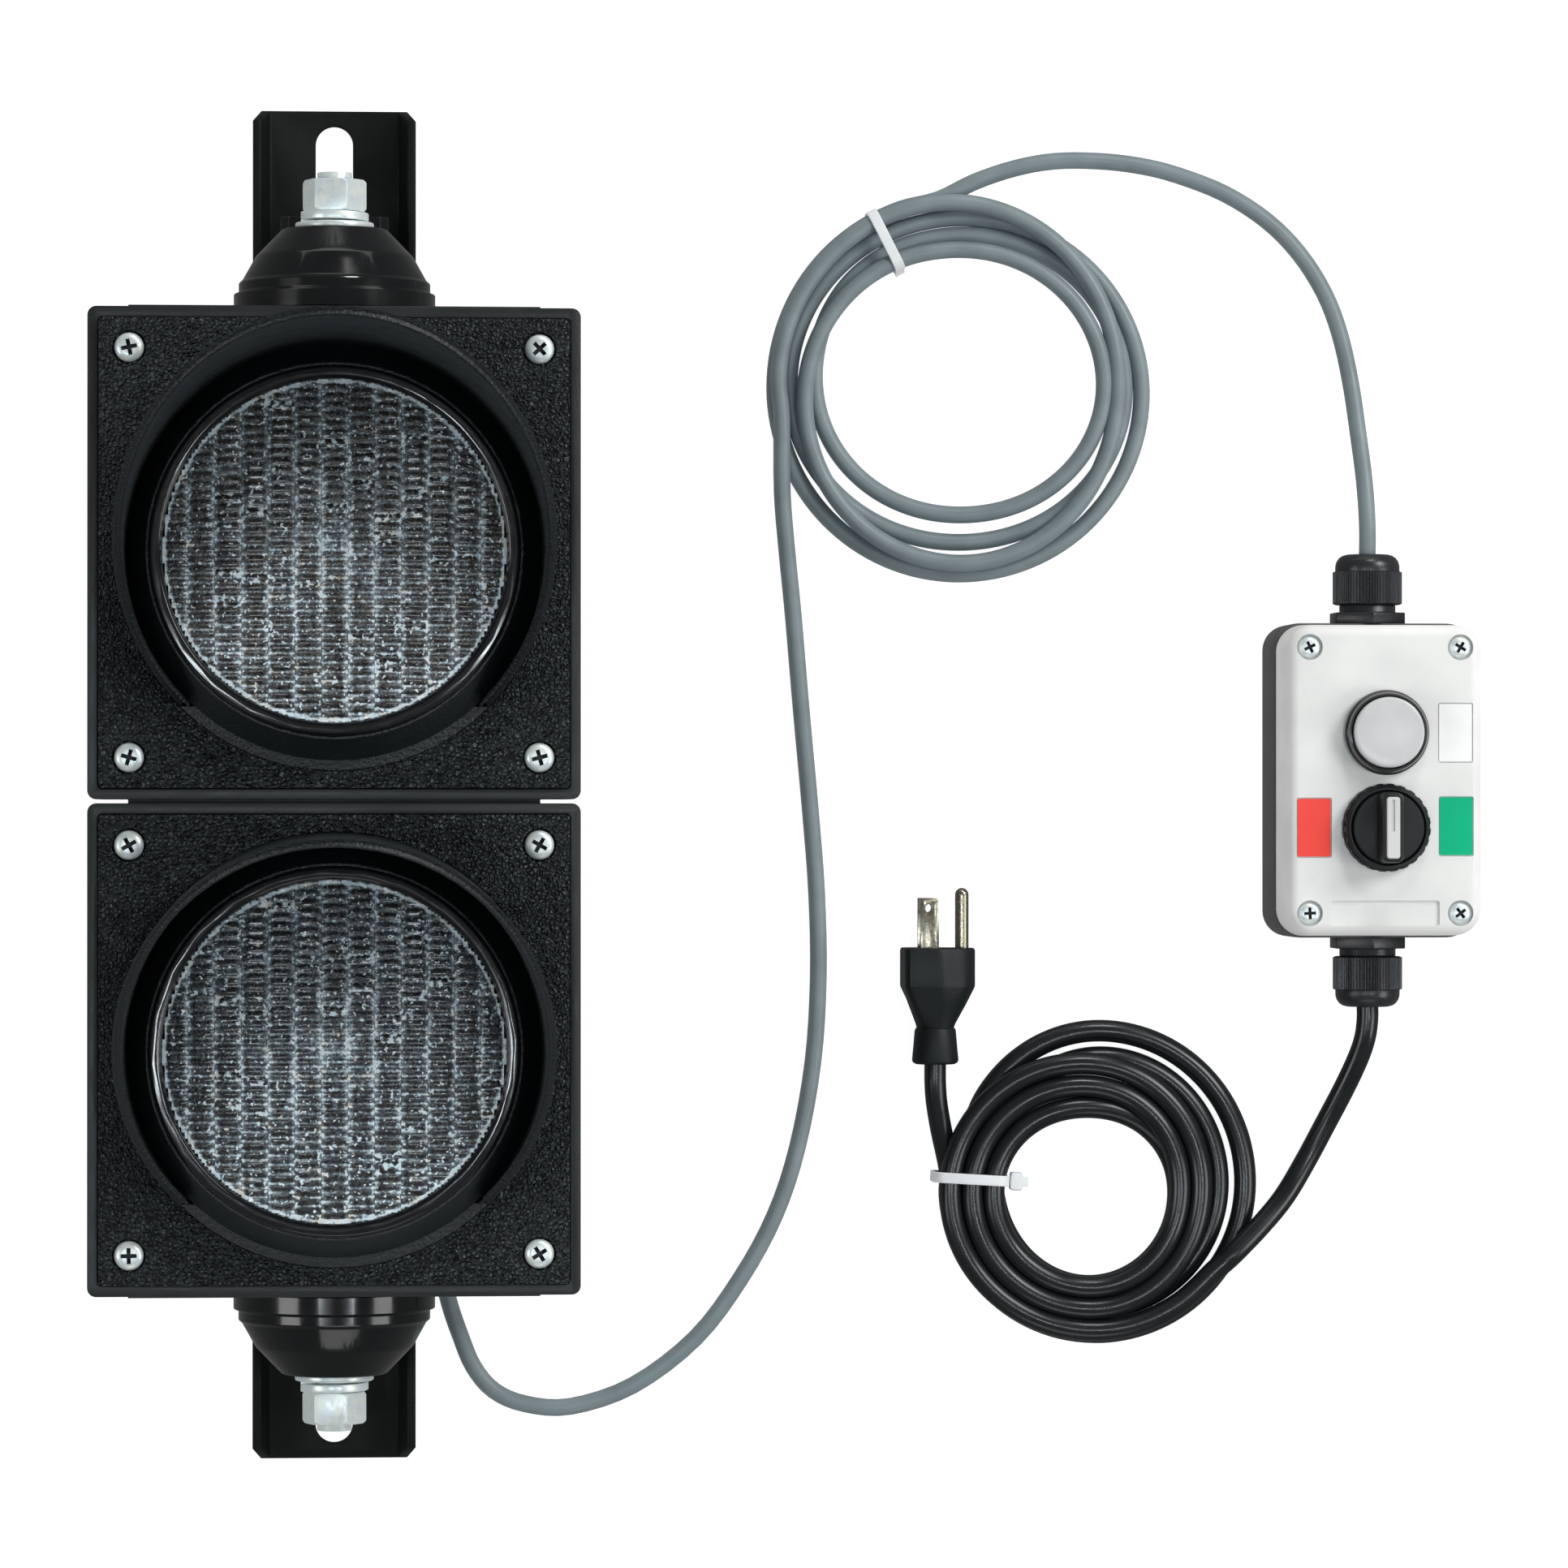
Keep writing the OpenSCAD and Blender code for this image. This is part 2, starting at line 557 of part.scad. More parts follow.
module gland_locknuts()
  color([0.04, 0.04, 0.042]) for (s = [-1, 1]) at_gland(s) translate([0, 0, -8.5]) difference() {
    hexagon(23.4, 5);
    translate([0, 0, -1]) cylinder(h = 7, r = 9.95);
  }

// ---------- cords, coils, ties and plug ----------

module grey_cable_a() color([0.45, 0.5, 0.54]) cord(grey_a, grey_d, [1, 0, 0]);
module grey_cable_b() color([0.45, 0.5, 0.54]) cord(grey_b, grey_d, [0, 0, 1]);
module black_cord_a() color([0.04, 0.04, 0.045]) cord(black_a, black_d, [0, 0, 1]);
module black_cord_b() color([0.04, 0.04, 0.045]) cord(black_b, black_d, [0, 0, 1]);

module grey_coil()
  color([0.45, 0.5, 0.54]) translate([grey_c[0], grey_c[1], 0]) rotate_extrude()
    polygon([[46.5, 1.2], [68.4, 1.2], [68.4, 8], [64.5, 12.6], [51, 12.6], [46.5, 8]]);

module black_coil()
  color([0.04, 0.04, 0.045]) translate([black_c[0], black_c[1], 0]) rotate_extrude()
    polygon([[26, 1.2], [57.5, 1.2], [57.5, 10], [52, 16.2], [31, 16.2], [26, 10]]);

// nylon ties pulled round the coils, each with its ratchet head inside the ring
module grey_tie()
  color([0.93, 0.93, 0.92]) translate([grey_c[0], grey_c[1], 0]) rotate([0, 0, 114.5]) {
    rotate_extrude(angle = 5) polygon([[45.3, 0.1], [69.6, 0.1], [69.6, 8.5], [65, 13.8],
      [50.5, 13.8], [45.3, 8.5], [45.3, 5], [46.5, 5], [46.5, 8], [51, 12.6], [64.5, 12.6],
      [68.4, 8], [68.4, 1.2], [46.5, 1.2], [46.5, 4], [45.3, 4]]);
    translate([40.8, -1, 1]) cube([4.9, 6, 5]);
  }

module black_tie()
  color([0.93, 0.93, 0.92]) translate([black_c[0], black_c[1], 0]) rotate([0, 0, 173]) {
    rotate_extrude(angle = 6) polygon([[24.8, 0.1], [58.7, 0.1], [58.7, 10.5], [52.6, 17.4],
      [30.4, 17.4], [24.8, 10.5], [24.8, 5], [26, 5], [26, 10], [31, 16.2], [52, 16.2],
      [57.5, 10], [57.5, 1.2], [26, 1.2], [26, 4], [24.8, 4]]);
    translate([20.4, -1.6, 5.5]) cube([5, 6, 5]);
  }

// the plug lies on its side: its prongs point up the head, the earth pin is towards +X
module plug_body()
  color([0.035, 0.035, 0.04]) translate(plug_c) {
    rotate([90, 0, 0]) difference() {
      intersection() {
        linear_extrude(29) union() {
          polygon([[-11.5, -11.8], [1.5, -11.8], [4.5, -9.2], [4.5, 9.2], [1.5, 11.8], [-11.5, 11.8]]);
          translate([4.5, 0]) circle(r = 9.6);
        }
        union() {
          translate([0, 0, -1]) cylinder(h = 15.5, r = 20);
          translate([0, 0, 14.5]) cylinder(h = 15, r1 = 17.4, r2 = 7.2);
        }
      }
      for (z = [-6.35, 6.35]) translate([-2.5 - 3.15, z - 0.75, -1]) cube([6.3, 1.5, 9]);
      translate([9.4, 0, -1]) cylinder(h = 10, r = 2.4);
    }
    rotate([90, 0, 0]) translate([0, 0, 28]) cylinder(h = 12.9, r1 = 7.2, r2 = 8.2);
  }

module plug_blades()
  color([0.72, 0.66, 0.5]) translate(plug_c) rotate([-90, 0, 0]) for (z = [-6.35, 6.35])
    difference() {
      translate([-2.5 - 3.15, z - 0.75, -8]) cube([6.3, 1.5, 25.5]);
      translate([-2.5, z + 2, 14]) rotate([90, 0, 0]) cylinder(h = 4, r = 1.6);
    }

module plug_pin()
  color([0.72, 0.66, 0.5]) translate(plug_c) rotate([-90, 0, 0]) translate([9.4, 0, -8.9]) {
    cylinder(h = 27.6, r = 2.4);
    translate([0, 0, 27.6]) sphere(r = 2.4);
  }

upper_housing();
lower_housing();
section_nipple();
section_locknuts();
upper_door();
lower_door();
door_seals();
door_screws();
upper_visor();
lower_visor();
upper_lens();
lower_lens();
lens_rings();
lens_gaskets();
lamp_cups();
led_boards();
leds();
terminal_block();
cable_grommet();
top_bracket();
bottom_bracket();
top_dome();
bottom_dome();
top_bolt();
bottom_bolt();
top_flat_washer();
bottom_flat_washer();
top_spring_washer();
bottom_spring_washer();
top_nut();
bottom_nut();
box_base();
box_cover();
box_seal();
box_screws();
button_bezel();
button_cap();
selector_ring();
selector_knob();
selector_insert();
operator_nuts();
contact_blocks();
label_white();
label_green();
label_red();
gland_bodies();
gland_nuts();
gland_locknuts();
grey_cable_a();
grey_coil();
grey_cable_b();
grey_tie();
black_cord_a();
black_coil();
black_cord_b();
black_tie();
plug_body();
plug_blades();
plug_pin();
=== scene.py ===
"""Looks of a two-aspect stop-and-go signal with its control station and cords."""

import json
import math

import bmesh
import bpy
from mathutils import Matrix, Vector

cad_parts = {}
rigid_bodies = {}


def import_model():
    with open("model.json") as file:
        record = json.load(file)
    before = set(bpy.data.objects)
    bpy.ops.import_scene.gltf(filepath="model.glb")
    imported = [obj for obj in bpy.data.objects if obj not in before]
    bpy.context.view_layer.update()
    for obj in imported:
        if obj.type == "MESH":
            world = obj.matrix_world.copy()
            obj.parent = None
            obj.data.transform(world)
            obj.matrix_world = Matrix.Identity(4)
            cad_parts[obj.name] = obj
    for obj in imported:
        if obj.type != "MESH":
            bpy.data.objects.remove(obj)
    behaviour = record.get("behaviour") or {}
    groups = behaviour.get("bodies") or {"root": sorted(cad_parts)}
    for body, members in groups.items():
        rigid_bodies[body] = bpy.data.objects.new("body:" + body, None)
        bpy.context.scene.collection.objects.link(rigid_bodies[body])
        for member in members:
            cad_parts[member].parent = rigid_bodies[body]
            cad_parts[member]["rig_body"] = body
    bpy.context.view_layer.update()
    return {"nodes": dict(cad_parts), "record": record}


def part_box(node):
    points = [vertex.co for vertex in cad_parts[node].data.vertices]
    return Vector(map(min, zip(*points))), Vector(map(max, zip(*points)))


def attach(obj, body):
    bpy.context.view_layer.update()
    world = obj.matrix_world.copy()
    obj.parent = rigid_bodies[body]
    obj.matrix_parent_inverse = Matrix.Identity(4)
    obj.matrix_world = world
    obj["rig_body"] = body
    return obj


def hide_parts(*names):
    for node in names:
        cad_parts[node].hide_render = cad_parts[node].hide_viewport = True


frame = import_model()

MM = 0.001
NODES = frame["nodes"]


def low(node):
    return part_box(node)[0]


def high(node):
    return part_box(node)[1]


def middle(node):
    lowest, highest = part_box(node)
    return (lowest + highest) / 2


DOOR_Z = high("upper_door").z
SECTIONS = {"upper": middle("upper_door"), "lower": middle("lower_door")}
BOLT_Z = middle("top_nut").z
BOX = middle("box_cover")
BOX_FRONT = high("box_cover").z
OPERATOR_PITCH = middle("button_bezel").y - middle("selector_ring").y


# ---------- camera ----------


CAMERA_PLACE = Vector((-0.003, -0.0075, 2.27))
CAMERA_AIM = Vector((0.1585, 0.0002, 0))
CAMERA_LENS = 147.9  # mm, on a sensor 36 mm wide
PICTURE_UP = Vector((0, 1, 0))


def make_camera():
    """Looks down on the laid-out parts from above the head, aimed between the head and the station."""
    data = bpy.data.cameras.new("camera")
    data.sensor_width = 36
    data.lens = CAMERA_LENS
    camera = bpy.data.objects.new("camera", data)
    forward = (CAMERA_AIM - CAMERA_PLACE).normalized()
    right = forward.cross(PICTURE_UP).normalized()
    up = right.cross(forward)
    turn = Matrix((right, up, -forward)).transposed()
    camera.matrix_world = Matrix.Translation(CAMERA_PLACE) @ turn.to_4x4()
    bpy.context.scene.collection.objects.link(camera)
    bpy.context.scene.camera = camera


make_camera()


# ---------- materials ----------


class Shader:
    """A Principled material and the few nodes that give it colour variation, roughness and bump."""

    def __init__(self, name, color, rough, metal=0.0, coat=0.0, specular=0.5):
        self.material = bpy.data.materials.new(name)
        self.material.use_nodes = True
        self.nodes = self.material.node_tree.nodes
        self.links = self.material.node_tree.links
        self.surface = self.nodes["Principled BSDF"]
        self.color = color
        self.rough = rough
        self.surface.inputs["Base Color"].default_value = (*color, 1)
        self.surface.inputs["Roughness"].default_value = rough
        self.surface.inputs["Metallic"].default_value = metal
        self.surface.inputs["Coat Weight"].default_value = coat
        self.surface.inputs["Coat Roughness"].default_value = 0.08
        self.surface.inputs["Specular IOR Level"].default_value = specular
        self.place = self.nodes.new("ShaderNodeTexCoord").outputs["Object"]

    def mapped(self, scale):
        node = self.nodes.new("ShaderNodeMapping")
        node.inputs["Scale"].default_value = scale
        self.links.new(self.place, node.inputs["Vector"])
        return node.outputs["Vector"]

    def noise(self, size, detail=3.0, vector=None):
        node = self.nodes.new("ShaderNodeTexNoise")
        node.inputs["Scale"].default_value = 1 / size
        node.inputs["Detail"].default_value = detail
        self.links.new(vector or self.place, node.inputs["Vector"])
        return node.outputs["Fac"]

    def cells(self, size):
        node = self.nodes.new("ShaderNodeTexVoronoi")
        node.feature = "DISTANCE_TO_EDGE"
        node.inputs["Scale"].default_value = 1 / size
        self.links.new(self.place, node.inputs["Vector"])
        return node.outputs["Distance"]

    def ramp(self, value, *stops):
        """Colours along a value: each stop is (position, colour)."""
        node = self.nodes.new("ShaderNodeValToRGB")
        band = node.color_ramp
        while len(band.elements) < len(stops):
            band.elements.new(0.5)
        for element, (at, color) in zip(band.elements, stops):
            element.position = at
            element.color = (*color, 1)
        self.links.new(value, node.inputs["Fac"])
        return node.outputs["Color"]

    def paint(self, color):
        self.links.new(color, self.surface.inputs["Base Color"])

    def vary(self, size, amount):
        """Mottles the colour by a share of itself."""
        dark = tuple(c * (1 - amount) for c in self.color)
        light = tuple(min(1, c * (1 + amount)) for c in self.color)
        self.paint(self.ramp(self.noise(size), (0.3, dark), (0.7, light)))
        return self

    def roughen(self, size, amount):
        """Moves the roughness up and down by an amount."""
        node = self.nodes.new("ShaderNodeMapRange")
        node.inputs["From Min"].default_value = 0.3
        node.inputs["From Max"].default_value = 0.7
        node.inputs["To Min"].default_value = max(0.02, self.rough - amount)
        node.inputs["To Max"].default_value = min(1, self.rough + amount)
        self.links.new(self.noise(size, 4), node.inputs["Value"])
        self.links.new(node.outputs["Result"], self.surface.inputs["Roughness"])
        return self

    def bump(self, height, depth):
        """Adds relief on top of any already there."""
        node = self.nodes.new("ShaderNodeBump")
        node.inputs["Distance"].default_value = depth
        node.inputs["Strength"].default_value = 1.0
        self.links.new(height, node.inputs["Height"])
        normal = self.surface.inputs["Normal"]
        if normal.is_linked:
            self.links.new(normal.links[0].from_socket, node.inputs["Normal"])
        self.links.new(node.outputs["Normal"], normal)
        return self

    def math(self, operation, *values):
        node = self.nodes.new("ShaderNodeMath")
        node.operation = operation
        for socket, value in zip(node.inputs, values):
            if isinstance(value, (int, float)):
                socket.default_value = value
            else:
                self.links.new(value, socket)
        return node.outputs["Value"]


def fine_plastic(name, color, rough, grain=0.0005, depth=0.00005, **more):
    """Moulded plastic or rubber with a fine even grain."""
    made = Shader(name, color, rough, **more).vary(0.03, 0.08).roughen(0.012, 0.06)
    return made.bump(made.noise(grain, 2), depth)


def leather_plastic(name, color):
    """Moulded plastic with a pebbled leather grain, cells about a millimetre across; its colour speckle is grain
    tone with painted glints.
    """
    made = Shader(name, color, 0.36).roughen(0.01, 0.07)
    dark, light = (tuple(c * share for c in color) for share in (0.3, 3.4))
    # the light spots of this speckle are painted glints off the grain; the rest is grain tone
    made.paint(made.ramp(made.noise(0.0012, 2), (0.42, dark), (0.62, light)))
    made.bump(made.noise(0.0012, 2), 0.0009)
    return made.bump(made.math("MINIMUM", made.cells(0.0015), 0.25), 0.004)


def glossy_plastic(name, color, rough=0.14, coat=0.5):
    """Polished moulding under a thin clear coat, faintly uneven."""
    made = Shader(name, color, rough, coat=coat, specular=0.2 + 0.6 * coat)
    made.vary(0.02, 0.1).roughen(0.008, 0.04)
    return made.bump(made.noise(0.006, 2), 0.000015)


def plated_metal(name, color, rough, metal=0.4, relief=0.00003):
    """Plated steel or brass: faint cool and warm patches and fine handling marks."""
    made = Shader(name, color, rough, metal=metal)
    cool = (color[0] * 0.9, color[1] * 0.95, color[2] * 1.0)
    warm = (color[0] * 1.02, color[1] * 1.03, color[2] * 0.98)
    made.paint(made.ramp(made.noise(0.004), (0.35, cool), (0.65, warm)))
    made.roughen(0.002, 0.09)
    return made.bump(made.noise(0.0009), relief)


def powder_coat(name, color):
    """Baked powder paint, slightly rough, with a fine orange-peel surface."""
    made = Shader(name, color, 0.5, specular=0.15).vary(0.015, 0.12).roughen(0.006, 0.08)
    return made.bump(made.noise(0.0007, 2), 0.00006)


def jacket(name, color, rough):
    """Extruded cable jacket, almost smooth, with faint scuffs."""
    made = Shader(name, color, rough).vary(0.012, 0.1).roughen(0.01, 0.05)
    made.bump(made.noise(0.0005), 0.000005)
    return made.bump(made.noise(0.006, 2), 0.00001)


# one lenslet and the round lens, in mm
LENS_COLUMN = 8.8
LENS_ROW = 3.1
LENS_RADIUS = 57.4


def grey_stops(*stops):
    """Ramp stops in greys, from (position, level)."""
    return [(at, (level,) * 3) for at, level in stops]


def lens_grid(made):
    """How far a point is across and down its lenslet, a chance value for the lenslet, and its place in mm."""
    grid = made.nodes.new("ShaderNodeUVMap")
    grid.uv_map = "lens"
    parts = made.nodes.new("ShaderNodeSeparateXYZ")
    made.links.new(grid.outputs["UV"], parts.inputs["Vector"])
    x, y = parts.outputs["X"], parts.outputs["Y"]
    column = made.math("FLOOR", made.math("ADD", x, 0.5))
    u = made.math("MULTIPLY", made.math("ABSOLUTE", made.math("SUBTRACT", x, column)), 2)
    raised = made.math("MULTIPLY_ADD", made.math("PINGPONG", column, 1), 0.5, y)
    row = made.math("FLOOR", raised)
    v = made.math("SUBTRACT", raised, row)
    cell = made.nodes.new("ShaderNodeCombineXYZ")
    made.links.new(column, cell.inputs["X"])
    made.links.new(row, cell.inputs["Y"])
    chance = made.nodes.new("ShaderNodeTexWhiteNoise")
    made.links.new(cell.outputs["Vector"], chance.inputs["Vector"])
    across, down = made.math("MULTIPLY", x, LENS_COLUMN), made.math("MULTIPLY", y, LENS_ROW)
    return u, v, chance.outputs["Value"], across, down


def lens_level(made):
    """How light a spot is, mostly painted light: highlight stripes between columns, highlight lines between rows
    that are stronger lower down, a painted glow in the middle and a painted highlight round the rim, painted
    glints and sparks, over a random tone for each lenslet and mottled patches.
    """
    u, v, chance, across, down = lens_grid(made)
    r = made.math("SQRT", made.math("ADD", made.math("POWER", across, 2), made.math("POWER", down, 2)))
    # painted highlights: light stripes along the edges of the lenslet columns
    painted_column_highlight = made.ramp(u, *grey_stops((0.0, 0.04), (0.5, 0.0), (0.7, 0.16), (0.84, 0.3), (0.93, 0.4),
                                      (1.0, 0.2)))
    # painted highlight lines between the rows, made stronger towards the bottom of the lens by the ramp below
    line = made.ramp(v, *grey_stops((0.0, 0.8), (0.1, 0.7), (0.19, 0.1), (0.3, 0.0), (0.78, 0.06), (0.9, 0.6),
                                    (1.0, 0.9)))
    lower = made.ramp(made.math("MULTIPLY_ADD", down, 0.008, 0.5),
                      *grey_stops((0.0, 0.62), (0.45, 0.46), (0.6, 0.26), (1.0, 0.4)))
    # a painted glow in the middle of the lens and a painted highlight round its rim
    painted_glow_and_rim_highlight = made.ramp(made.math("DIVIDE", r, LENS_RADIUS),
                     *grey_stops((0.0, 0.34), (0.08, 0.26), (0.2, 0.1), (0.5, 0.02), (0.962, 0.0),
                                 (0.98, 0.75), (1.0, 0.3)))
    patch = made.math("SUBTRACT", made.noise(0.003, 2, made.mapped((1.0, 0.5, 1.0))), 0.5)
    # painted glints and sparks, and rare lenslets with bright painted glints
    painted_glint = made.math("SUBTRACT", made.noise(0.0009, 2), 0.5)
    painted_spark = made.math("MAXIMUM", made.math("SUBTRACT", made.noise(0.0015, 1), 0.63), 0)
    rare_painted_glint = made.math("MULTIPLY", made.math("GREATER_THAN", chance, 0.92),
                     made.math("MULTIPLY_ADD", made.noise(0.002, 2), 5, -2.5))
    level = made.math("MULTIPLY_ADD", chance, 0.16, 0.09)
    for part in (painted_column_highlight, made.math("MULTIPLY", line, lower), painted_glow_and_rim_highlight, made.math("MULTIPLY", patch, 0.9),
                 made.math("MULTIPLY", painted_glint, 1.1), made.math("MULTIPLY", painted_spark, 11), rare_painted_glint):
        level = made.math("ADD", level, part)
    return level


def lens_mix(made, blend, factor, first, second):
    """Blends two colours by a number or by a value of the pattern."""
    node = made.nodes.new("ShaderNodeMix")
    node.data_type = "RGBA"
    node.blend_type = blend
    if isinstance(factor, int):
        node.inputs["Factor"].default_value = factor
    else:
        made.links.new(factor, node.inputs["Factor"])
    made.links.new(first, node.inputs["A"])
    made.links.new(second, node.inputs["B"])
    return node.outputs["Result"]


def lens_plastic(name):
    """Clear lenslets over a dark lamp, the upper lens a little warmer than the lower one."""
    made = Shader(name, (0.06, 0.066, 0.07), 0.2, coat=0.5)
    made.surface.inputs["Coat Roughness"].default_value = 0.1
    level = lens_level(made)
    warm = ((0.0, (0.007, 0.006, 0.006)), (0.25, (0.037, 0.032, 0.03)), (0.5, (0.105, 0.117, 0.124)),
            (0.72, (0.28, 0.34, 0.37)), (0.95, (0.85, 0.92, 0.95)))
    cool = ((0.0, (0.003, 0.004, 0.005)), (0.25, (0.024, 0.025, 0.027)), (0.5, (0.085, 0.108, 0.122)),
            (0.72, (0.3, 0.36, 0.39)), (0.95, (0.85, 0.93, 0.96)))
    parts = made.nodes.new("ShaderNodeSeparateXYZ")
    made.links.new(made.place, parts.inputs["Vector"])
    in_lower = made.math("LESS_THAN", parts.outputs["Y"], -0.006)
    shade_of = lens_mix(made, "MIX", in_lower, made.ramp(level, *warm), made.ramp(level, *cool))
    hue = made.ramp(made.noise(0.0035), (0.36, (0.86, 0.95, 1.0)), (0.56, (0.97, 0.99, 1.0)),
                    (0.68, (1.0, 0.88, 0.76)))
    made.paint(lens_mix(made, "MULTIPLY", 1, shade_of, hue))
    made.roughen(0.004, 0.06)
    return made.bump(made.noise(0.0012), 0.0004)


PAINT = {
    "housing_black": fine_plastic("housing_plastic", (0.011, 0.0135, 0.0145), 0.4, 0.0007, 0.00007),
    "door_black": leather_plastic("door_leather_plastic", (0.0085, 0.0125, 0.0142)),
    "visor_black": fine_plastic("visor_plastic", (0.0085, 0.0125, 0.0145), 0.45, 0.0012, 0.0006),
    "ring_black": glossy_plastic("ring_gloss", (0.005, 0.006, 0.008)),
    "dome_black": glossy_plastic("dome_gloss", (0.0035, 0.0045, 0.005), 0.16, 0.3),
    "rubber_black": fine_plastic("seal_rubber", (0.018, 0.018, 0.019), 0.7),
    "cup_white": fine_plastic("cup_white", (0.78, 0.8, 0.82), 0.3),
    "board_green": fine_plastic("board_green", (0.02, 0.16, 0.06), 0.35),
    "led_clear": glossy_plastic("led_clear", (0.8, 0.8, 0.72)),
    "terminal_cream": fine_plastic("terminal_cream", (0.62, 0.6, 0.5), 0.45),
    "bracket_black": powder_coat("bracket_powder_coat", (0.0045, 0.0055, 0.0055)),
    "zinc_steel": plated_metal("zinc_bright", (0.79, 0.84, 0.83), 0.36),
    # painted shade: a dark material for the faces inside the screws' cross recesses
    "screw_recess": fine_plastic("screw_recess_painted_shade", (0.02, 0.025, 0.028), 0.6),
    "pipe_zinc": plated_metal("zinc_dull", (0.5, 0.51, 0.5), 0.42),
    "station_grey": fine_plastic("station_light_grey", (0.8, 0.8, 0.78), 0.45, 0.0006, 0.00005),
    "station_base": fine_plastic("station_dark_grey", (0.085, 0.082, 0.081), 0.5, 0.0006, 0.00006),
    "bezel_smoke": glossy_plastic("bezel_smoke", (0.045, 0.045, 0.047), 0.12),
    "button_white": glossy_plastic("button_milky", (0.58, 0.585, 0.585), 0.3, 0.1),
    "selector_black": fine_plastic("selector_plastic", (0.01, 0.011, 0.012), 0.42, specular=0.3),
    "insert_white": glossy_plastic("insert_white", (0.6, 0.6, 0.59), 0.25),
    "label_white": fine_plastic("label_white", (0.93, 0.93, 0.92), 0.35),
    "label_green": fine_plastic("label_green", (0.002, 0.48, 0.235), 0.5, specular=0.15),
    "label_red": fine_plastic("label_red", (1.0, 0.085, 0.065), 0.5, specular=0.15),
    "contact_dark": fine_plastic("contact_dark", (0.04, 0.05, 0.06), 0.5),
    "gland_black": fine_plastic("gland_nylon", (0.02, 0.021, 0.024), 0.3),
    "cable_grey": jacket("cable_grey_jacket", (0.19, 0.235, 0.25), 0.42),
    "cord_black": jacket("cord_black_jacket", (0.008, 0.01, 0.0115), 0.25),
    "tie_white": fine_plastic("tie_nylon", (0.8, 0.82, 0.83), 0.38),
    "plug_black": fine_plastic("plug_vinyl", (0.0055, 0.0085, 0.0095), 0.45, specular=0.3),
    "prong_metal": plated_metal("prong_brass", (0.36, 0.32, 0.25), 0.24, 0.95, 0.000003),
    "lens_clear": lens_plastic("lens_clear"),
}
SLOT_OF = {s["node"]: s["material_slot"] for s in frame["record"]["subparts"]}


def paint_cad_nodes():
    """Gives every CAD node the material of its slot; finer pieces stand in for most of those that show."""
    for name, node in NODES.items():
        node.data.materials.clear()
        node.data.materials.append(PAINT[SLOT_OF[name]].material)


paint_cad_nodes()


# ---------- making pieces ----------


def finish_piece(piece, slot, body="signal", replaces=()):
    """Paints a piece, sets which body it rides on, and hides the CAD nodes it stands for."""
    piece.data.materials.append(PAINT[slot].material)
    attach(piece, body)
    if replaces:
        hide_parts(*replaces)
    return piece


def in_scene(name, data):
    piece = bpy.data.objects.new(name, data)
    bpy.context.scene.collection.objects.link(piece)
    return piece


def mesh_object(name, points, faces, smooth=30):
    """A mesh from points in metres, smooth wherever its faces meet at less than that many degrees."""
    mesh = bpy.data.meshes.new(name)
    mesh.from_pydata([tuple(p) for p in points], [], faces)
    made = bmesh.new()
    made.from_mesh(mesh)
    bmesh.ops.remove_doubles(made, verts=made.verts, dist=1e-7)
    bmesh.ops.recalc_face_normals(made, faces=made.faces)
    made.to_mesh(mesh)
    made.free()
    piece = in_scene(name, mesh)
    shade(piece, smooth)
    return piece


def shade(piece, angle):
    """Smooth shading, sharp where faces meet at more than that many degrees."""
    mesh = piece.data
    mesh.polygons.foreach_set("use_smooth", [True] * len(mesh.polygons))
    mesh.set_sharp_from_angle(angle=math.radians(angle))


def apply_modifiers(piece):
    """Swaps the piece's mesh for the one its modifiers make."""
    bpy.context.view_layer.update()
    evaluated = piece.evaluated_get(bpy.context.evaluated_depsgraph_get())
    mesh = bpy.data.meshes.new_from_object(evaluated)
    piece.modifiers.clear()
    piece.data = mesh
    return piece


def add_bevel(piece, width, segments, angle):
    bevel = piece.modifiers.new("bevel", "BEVEL")
    bevel.width = width
    bevel.segments = segments
    bevel.limit_method = "ANGLE"
    bevel.angle_limit = math.radians(angle)
    apply_modifiers(piece)


def softened(node, width, segments=2, angle=28, smooth=35):
    """Stands for a CAD node: the same shape with its hard edges rounded by a small radius."""
    mesh = NODES[node].data.copy()
    mesh.materials.clear()
    made = bmesh.new()
    made.from_mesh(mesh)
    bmesh.ops.remove_doubles(made, verts=made.verts, dist=1e-6)
    bmesh.ops.dissolve_limit(made, angle_limit=math.radians(0.5), verts=made.verts, edges=made.edges)
    made.to_mesh(mesh)
    made.free()
    piece = in_scene(node + "_look", mesh)
    add_bevel(piece, width, segments, angle)
    shade(piece, smooth)
    return finish_piece(piece, SLOT_OF[node], NODES[node]["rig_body"], [node])


def ring_faces(rows, columns):
    """Quads between rows of points, each row a closed loop of that many columns."""
    faces = []
    for i in range(rows - 1):
        here, above = i * columns, (i + 1) * columns
        for k in range(columns):
            after = (k + 1) % columns
            faces.append((here + k, here + after, above + after, above + k))
    return faces


def revolved(name, profile, place, steps=96, smooth=30, radius=None):
    """Turns (radius, height) points in mm about an axis. place(x, y, h) takes mm to a point of the scene, and
    radius(row, r, angle), where given, shapes a row away from round."""
    points = []
    for row, (r, h) in enumerate(profile):
        for k in range(steps):
            a = 2 * math.pi * k / steps
            wide = radius(row, r, a) if radius else r
            points.append(place(wide * math.cos(a), wide * math.sin(a), h))
    return mesh_object(name, points, ring_faces(len(profile), steps), smooth)


